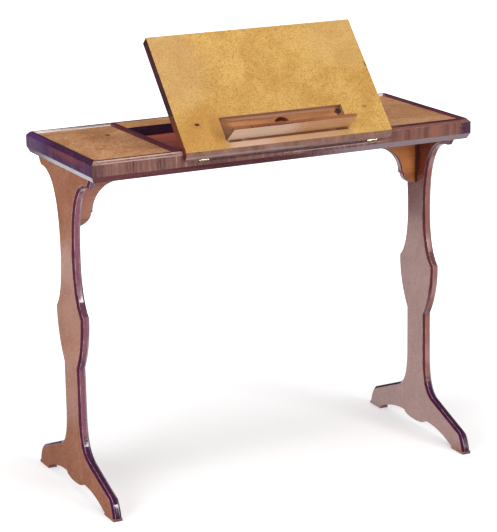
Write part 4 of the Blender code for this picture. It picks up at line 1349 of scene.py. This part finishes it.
    def build_bracket(self) -> None:
        """Build the bracket: ovolo, fillet and hollow, mirrored about the diagonal, carried along Y."""
        centre, fillet = self.bracket_centre, self.bracket_fillet
        tip = centre - self.bracket_arc - fillet
        lower = np.vstack(
            [
                [(0.0, centre + self.bracket_ovolo)],
                ellipse((0.0, centre), (tip, self.bracket_ovolo), (90.0, 0.0)),
                [(tip + fillet, centre)],
            ]
        )
        arc = ellipse((centre, centre), (self.bracket_arc, self.bracket_arc), (180.0, 225.0))
        upper = np.vstack([lower, arc[:-1]])[::-1, ::-1]
        outline = np.vstack([[(0.0, 0.0)], lower, arc, upper])
        soft = np.ones(len(outline), bool)
        soft[[0, -1]] = False
        inner = self.outer - self.thickness - self.joint_gap
        half = self.bracket_thickness / 2

        def place(a: np.ndarray, b: np.ndarray, h: np.ndarray) -> np.ndarray:
            """Outline in from the standard and down from the top, heights along Y."""
            return np.stack([self.side.value * (inner - a), h - half, self.top - b], axis=-1)

        slab = Slab(outline, soft, self.bracket_thickness, self.bracket_chamfer, self.bracket_arris)
        veneer = LEFT_BRACKET_VENEER if self.side is Side.LEFT else RIGHT_BRACKET_VENEER
        finishes = (veneer, CHAMFER_PLUM, EDGE_ROSEWOOD, veneer)
        shell = slab.shell(f"{self.side.word}_curved_bracket", place)
        shell.make(finishes, Body.TABLE, Slot.BROWN, f"{self.side.word}_bracket")


@dataclass
class TableTop:
    """The boxed top: rails, floor, racks, dividers, end panels and rear strip."""

    nodes: dict[str, bpy.types.Object]
    rail_arris: float = 0.0007
    rack_arris: float = 0.0003
    floor_arris: float = 0.0004
    divider_arris: float = 0.0006
    panel_arris: float = 0.0005

    @staticmethod
    def sort_rail(out: Pair) -> Sorter:
        """How a rail's faces are sorted.

        The slots are 0 outer face, 1 chamfer, 2 lower bevel, 3 lip and inside, and 4 flat top.

        Args:
            out: direction of the rail's outer face on the ground plan.

        Returns:
            The sorter, which goes by how far each normal points out and up.
        """

        def sort(middles: np.ndarray, normals: np.ndarray) -> np.ndarray:
            """Slot of each face from its normal."""
            outward, up = normals[:, :2] @ np.array(out), normals[:, 2]
            return np.select(
                [up > SQUARE_ON, outward < -LEANING, up > LEANING, up < -LEANING], [4, 3, 1, 2], 0
            )

        return sort

    def build(self) -> None:
        """Build and dress the top's pieces."""
        lips = {End.FRONT: END_CHAMFER, End.REAR: RAIL_LIP_HIGHLIGHT}
        for end in End:
            finishes = (RAIL_CROSSBAND, RAIL_CHAMFER, RAIL_BEVEL, lips[end], RAIL_TOP)
            self.build_rail(f"{end.word}_rail", (0.0, float(end.value)), finishes)
        finishes = (END_ROSEWOOD, END_CHAMFER, END_BEVEL, END_LIP, RAIL_TOP)
        for side in Side:
            self.build_rail(f"{side.word}_end_rail", (float(side.value), 0.0), finishes)
            rack = CadCopy(self.nodes[f"{side.word}_rack"], self.rack_arris)
            rack.make(f"{side.word}_notched_rack", [WELL_MAHOGANY], Body.TABLE, Slot.MAHOGANY)
            self.build_boards(side)
        floor = CadCopy(self.nodes["base_board"], self.floor_arris)
        floor.make("well_floor", [WELL_MAHOGANY], Body.TABLE, Slot.MAHOGANY)
        strip = flat_board("veneered_rear_strip", "rear_strip", self.panel_arris)
        finishes = (STRIP_VENEER, STRIP_VENEER, WELL_WALL_SHADE, STRIP_VENEER)
        strip.make(finishes, Body.TABLE, Slot.GOLDEN, "rear_strip")

    def build_rail(self, name: str, out: Pair, finishes: Sequence[Finish]) -> None:
        """Build one rail.

        Args:
            name: the rail's CAD node.
            out: direction of its outer face on the ground plan.
            finishes: its finishes in the order of sort_rail's slots.
        """
        rail = CadCopy(self.nodes[name], self.rail_arris)
        rail.make(f"polished_{name}", finishes, Body.TABLE, Slot.ROSEWOOD, self.sort_rail(out))

    def build_boards(self, side: Side) -> None:
        """Build the divider and the end panel of one end.

        Args:
            side: the end of the table.
        """
        divider = flat_board(f"{side.word}_well_divider", f"{side.word}_divider", self.divider_arris)
        divider.make([DIVIDER_ROSEWOOD] * 4, Body.TABLE, Slot.ROSEWOOD, f"{side.word}_divider")
        panel = flat_board(f"{side.word}_veneered_panel", f"{side.word}_end_panel", self.panel_arris)
        panel.make([PANEL_VENEER] * 4, Body.TABLE, Slot.GOLDEN, f"{side.word}_end_panel")


@dataclass
class ReadingSlope:
    """The hinged slope with its book ledge, its prop and its brass."""

    nodes: dict[str, bpy.types.Object]
    hinge: Triple = HINGE_LINE
    angle: float = SLOPE_TURN
    thickness: float = SLOPE_FACE
    half_width: float = 0.2275
    length: float = 0.2763
    chamfer_width: float = 0.0068
    recess_half: float = 0.1362
    recess_start: float = 0.0246
    recess_end: float = 0.0775
    recess_depth: float = 0.0086
    board_arris: float = 0.0006
    prop_arris: float = 0.0005

    def local(self, points: np.ndarray, turn_only: bool = False) -> np.ndarray:
        """Points in the slope's own frame: along the hinge, up the slope and out of its face.

        Args:
            points: points or directions of the table.
            turn_only: whether they are directions.

        Returns:
            The same in the slope's frame.
        """
        moved = points if turn_only else points - np.array(self.hinge)
        c, s = math.cos(self.angle), math.sin(self.angle)
        x, y, z = moved.T
        return np.column_stack([x, c * y + s * z, -s * y + c * z])

    def sort_faces(self, middles: np.ndarray, normals: np.ndarray) -> np.ndarray:
        """Slot of each face: 0 face, 1 front edge, 2 sides and top edge, 3 recess, 4 back, 5 recess walls.

        Args:
            middles: middles of the faces.
            normals: normals of the faces.

        Returns:
            The slot numbers.
        """
        x, u, n = self.local(middles).T
        nx, nu, nn = self.local(normals, True).T
        slots = np.full(len(x), 4)
        deep = self.thickness - self.recess_depth
        inside = (u > self.recess_start - SLACK) & (u < self.recess_end + SLACK)
        inside &= np.abs(x) < self.recess_half + SLACK
        slots[inside & (n > deep - SLACK)] = 3
        slots[inside & (n > deep) & (np.abs(nn) < HALFWAY)] = 5
        slots[(nn > SQUARE_ON) & (n > self.thickness - SLACK)] = 0
        slots[(nu < -HALFWAY) & (u < self.chamfer_width)] = 1
        slots[(np.abs(nx) > SQUARE_ON) & (np.abs(x) > self.half_width - SLACK)] = 2
        slots[(nu > SQUARE_ON) & (u > self.length - SLACK)] = 2
        return slots

    def sort_ledge(self, middles: np.ndarray, normals: np.ndarray) -> np.ndarray:
        """Slot of each face of the open ledge: 0 outer face, 1 free edge, 2 ends and pivot edge, 3 book face.

        Args:
            middles: middles of the faces; not used.
            normals: normals of the faces.

        Returns:
            The slot numbers.
        """
        nu, nn = self.local(normals, True).T[1:]
        return np.select([nu < -MAINLY, nn > HALFWAY, nu > MAINLY], [0, 1, 3], 2)

    def build(self) -> None:
        """Build and dress the slope's pieces."""
        finishes = (SLOPE_BURR, SLOPE_FRONT, SLOPE_SIDE, SLOPE_RECESS, UNDER_MAHOGANY, RECESS_WALL)
        board = CadCopy(self.nodes["slope_board"], self.board_arris)
        board.make("veneered_slope", finishes, Body.SLOPE, Slot.GOLDEN, self.sort_faces)
        ledge = CadCopy(self.nodes["book_ledge"], self.board_arris)
        finishes = (LEDGE_VENEER, LEDGE_LIPPING, LEDGE_END_AND_SHADE, LEDGE_BED)
        ledge.make("folding_ledge", finishes, Body.LEDGE, Slot.GOLDEN, self.sort_ledge)
        for name in ("prop_left_stile", "prop_right_stile", "prop_head_rail", "prop_foot_rail"):
            copy = CadCopy(self.nodes[name], self.prop_arris)
            copy.make(f"mahogany_{name}", [PROP_MAHOGANY], Body.PROP, Slot.MAHOGANY)
        self.dress_brass()

    def dress_brass(self) -> None:
        """Give the hinges' leaves and all pins their brass."""
        for side in Side:
            for kind in ("fixed_leaf", "moving_leaf", "hinge_pin", "ledge_pin", "prop_pin"):
                self.nodes[f"{side.word}_{kind}"].material_slots[0].material = OLD_BRASS.material()


@dataclass(frozen=True)
class Lamp:
    """A soft rectangular lamp, with its power in watts and whether polished surfaces mirror it."""

    name: str
    place: Triple
    size: Pair
    power: float
    mirrored: bool = False

    def hang(self, target: Triple) -> None:
        """Hang the lamp.

        Args:
            target: the point that it looks at.
        """
        data = bpy.data.lights.new(self.name, "AREA")
        data.shape = "RECTANGLE"
        data.size, data.size_y = self.size
        data.energy = self.power
        lamp = bpy.data.objects.new(self.name, data)
        aim = Vector(target) - Vector(self.place)
        turn = aim.to_track_quat("-Z", "Y").to_matrix().to_4x4()
        lamp.matrix_world = Matrix.Translation(self.place) @ turn
        lamp.visible_glossy = self.mirrored
        bpy.context.scene.collection.objects.link(lamp)


@dataclass(frozen=True)
class Paper:
    """A pale sheet on the floor, seen only in polished surfaces: its middle, half sizes and tone."""

    middle: Pair
    half: Pair
    tone: float


@dataclass
class Studio:
    """Camera, lamps, floor and surroundings."""

    eye: Triple = (-1.911, -3.898, 1.570)
    yaw: float = 26.02
    pitch: float = -14.82
    roll: float = -1.05
    focal_pixels: float = 2161.9
    sensor: float = 36.0
    floor_half: float = 40.0
    floor_tone: Colour = (0.80, 0.80, 0.80)
    floor_lift: float = 0.34
    gleam_tone: Colour = (0.92, 0.93, 1.00)
    floor_reach: Pair = (0.5, 1.5)
    papers: tuple[Paper, ...] = (
        Paper((0.05, 0.72), (0.50, 0.95), 0.92),
        Paper((-1.22, 1.68), (0.27, 0.42), 0.75),
        Paper((-1.00, 1.20), (0.25, 0.36), 0.40),
        Paper((-0.74, 0.68), (0.22, 0.42), 0.38),
        Paper((0.72, -0.43), (0.42, 0.22), 1.00),
        Paper((0.30, 0.08), (0.65, 0.30), 0.90),
        Paper((-0.46, 1.28), (0.24, 0.62), 1.00),
        Paper((1.30, 0.80), (1.20, 0.70), 0.80),
    )
    paper_turn: float = 26.0
    paper_fade: Pair = (0.55, 1.10)
    mirrored_room: float = 0.07
    ambient: float = 0.40
    sight: float = 200.0
    lamp_target: Triple = (0.0, 0.0, 0.45)
    lamps: tuple[Lamp, ...] = (
        Lamp("overhead_lamp", (0.1, -0.5, 3.2), (2.0, 1.8), 36.0),
        Lamp("front_softbox", (2.00, -4.25, 1.85), (1.25, 2.0), 94.0, True),
        Lamp("front_key", (-0.9, -3.9, 2.3), (2.2, 2.0), 14.0),
        Lamp("left_fill", (-3.4, -1.4, 1.5), (2.4, 2.2), 105.0),
    )

    def build(self) -> None:
        """Set up everything round the table."""
        self.set_camera()
        self.set_world()
        self.lay_floor()
        for lamp in self.lamps:
            lamp.hang(self.lamp_target)
        bpy.context.scene.view_settings.view_transform = "Standard"

    def set_camera(self) -> None:
        """Set the camera by its yaw, pitch and roll; its focal length is in pixels of the photo."""
        yaw, pitch, roll = (math.radians(a) for a in (self.yaw, self.pitch, self.roll))
        ahead = np.array((math.sin(yaw) * math.cos(pitch), math.cos(yaw) * math.cos(pitch), math.sin(pitch)))
        right = np.array((math.cos(yaw), -math.sin(yaw), 0.0))
        up = np.cross(right, ahead)
        tilted = math.cos(roll) * right + math.sin(roll) * up
        raised = np.cross(tilted, ahead)
        data = bpy.data.cameras.new("photo_camera")
        data.sensor_width = self.sensor
        data.lens = self.focal_pixels * self.sensor / max(IMAGE_SIZE)
        data.clip_end = self.sight
        camera = bpy.data.objects.new("photo_camera", data)
        matrix = np.eye(4)
        matrix[:3] = np.column_stack([tilted, raised, -ahead, self.eye])
        camera.matrix_world = Matrix(matrix.tolist())
        bpy.context.scene.collection.objects.link(camera)
        bpy.context.scene.camera = camera

    def set_world(self) -> None:
        """White behind the table for the eye, a darker ceiling in reflections, even light on the wood."""
        world = bpy.data.worlds.new("studio")
        world.use_nodes = True
        bpy.context.scene.world = world
        graph = Graph(world.node_tree)
        world.node_tree.nodes.clear()
        path = graph.add("LightPath").outputs
        mirrored = graph.math("MAXIMUM", path["Is Glossy Ray"], path["Is Transmission Ray"])
        darker = self.mirrored_room - self.ambient
        level = graph.math("MULTIPLY_ADD", mirrored, darker, third=self.ambient)
        shown = graph.math("MAXIMUM", level, path["Is Camera Ray"])
        background = graph.add("Background", {"Strength": shown, "Color": (1.0, 1.0, 1.0)})
        graph.add("OutputWorld", {"Surface": background.outputs[0]})

    def lay_floor(self) -> None:
        """A wide pale floor that looks white and keeps the table's soft shadow."""
        h = self.floor_half
        mesh = bpy.data.meshes.new("studio_floor")
        mesh.from_pydata([(-h, -h, 0.0), (h, -h, 0.0), (h, h, 0.0), (-h, h, 0.0)], [], [(0, 1, 2, 3)])
        material, graph, shader = new_material("studio_paper")
        graph.feed(shader, {"Base Color": self.floor_tone, "Roughness": 1.0, "Specular IOR Level": 0.0})
        path = graph.add("LightPath").outputs
        place = graph.add("TexCoord").outputs["Object"]
        lift = graph.spread(self.away_from(graph, place, (0.0, 0.0)), *self.floor_reach, self.floor_lift, 1.0)
        seen = graph.add("Emission", {"Strength": graph.math("MULTIPLY", lift, path["Is Camera Ray"])})
        lit = graph.add("AddShader", {0: shader.outputs[0], 1: seen.outputs[0]})
        level: object = self.mirrored_room
        for paper in self.papers:
            away = self.away_from(graph, place, paper.middle, paper.half, self.paper_turn)
            level = graph.math("MAXIMUM", graph.spread(away, *self.paper_fade, paper.tone, 0.0), level)
        gleam = graph.add("Emission", {"Strength": level, "Color": self.gleam_tone})
        mirrored = graph.math("MAXIMUM", path["Is Glossy Ray"], path["Is Transmission Ray"])
        total = graph.add("MixShader", {0: mirrored, 1: lit.outputs[0], 2: gleam.outputs[0]})
        graph.feed(material.node_tree.nodes["Material Output"], {"Surface": total.outputs[0]})
        mesh.materials.append(material)
        floor = bpy.data.objects.new("studio_floor", mesh)
        bpy.context.scene.collection.objects.link(floor)

    @staticmethod
    def away_from(
        graph: Graph, place: Socket, middle: Pair, half: Pair = (1.0, 1.0), turn: float = 0.0
    ) -> Socket:
        """Distance of a place from a middle, in units of the half sizes of a sheet turned about Z.

        Args:
            graph: the material's graph.
            place: socket of the place.
            middle: the point from which it is measured.
            half: the sheet's half sizes.
            turn: the sheet's turn in degrees.

        Returns:
            The socket of the distance.
        """
        inputs = {
            "Vector": place,
            "Location": (*middle, 0.0),
            "Rotation": (0.0, 0.0, math.radians(turn)),
            "Scale": (*half, 1.0),
        }
        sheet = graph.add("Mapping", inputs, vector_type="TEXTURE").outputs[0]
        return graph.add("VectorMath", {0: sheet}, operation="LENGTH").outputs["Value"]


def clear_scene() -> None:
    """Take out whatever the scene holds."""
    for obj in list(bpy.data.objects):
        bpy.data.objects.remove(obj)


def main() -> None:
    """Load the frame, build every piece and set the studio."""
    logging.basicConfig(level=logging.INFO, format="%(name)s: %(message)s")
    clear_scene()
    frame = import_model()
    nodes = frame["nodes"]
    TableTop(nodes).build()
    for side in Side:
        EndStandard(side).build()
    ReadingSlope(nodes).build()
    Studio().build()


if __name__ == "__main__":
    main()
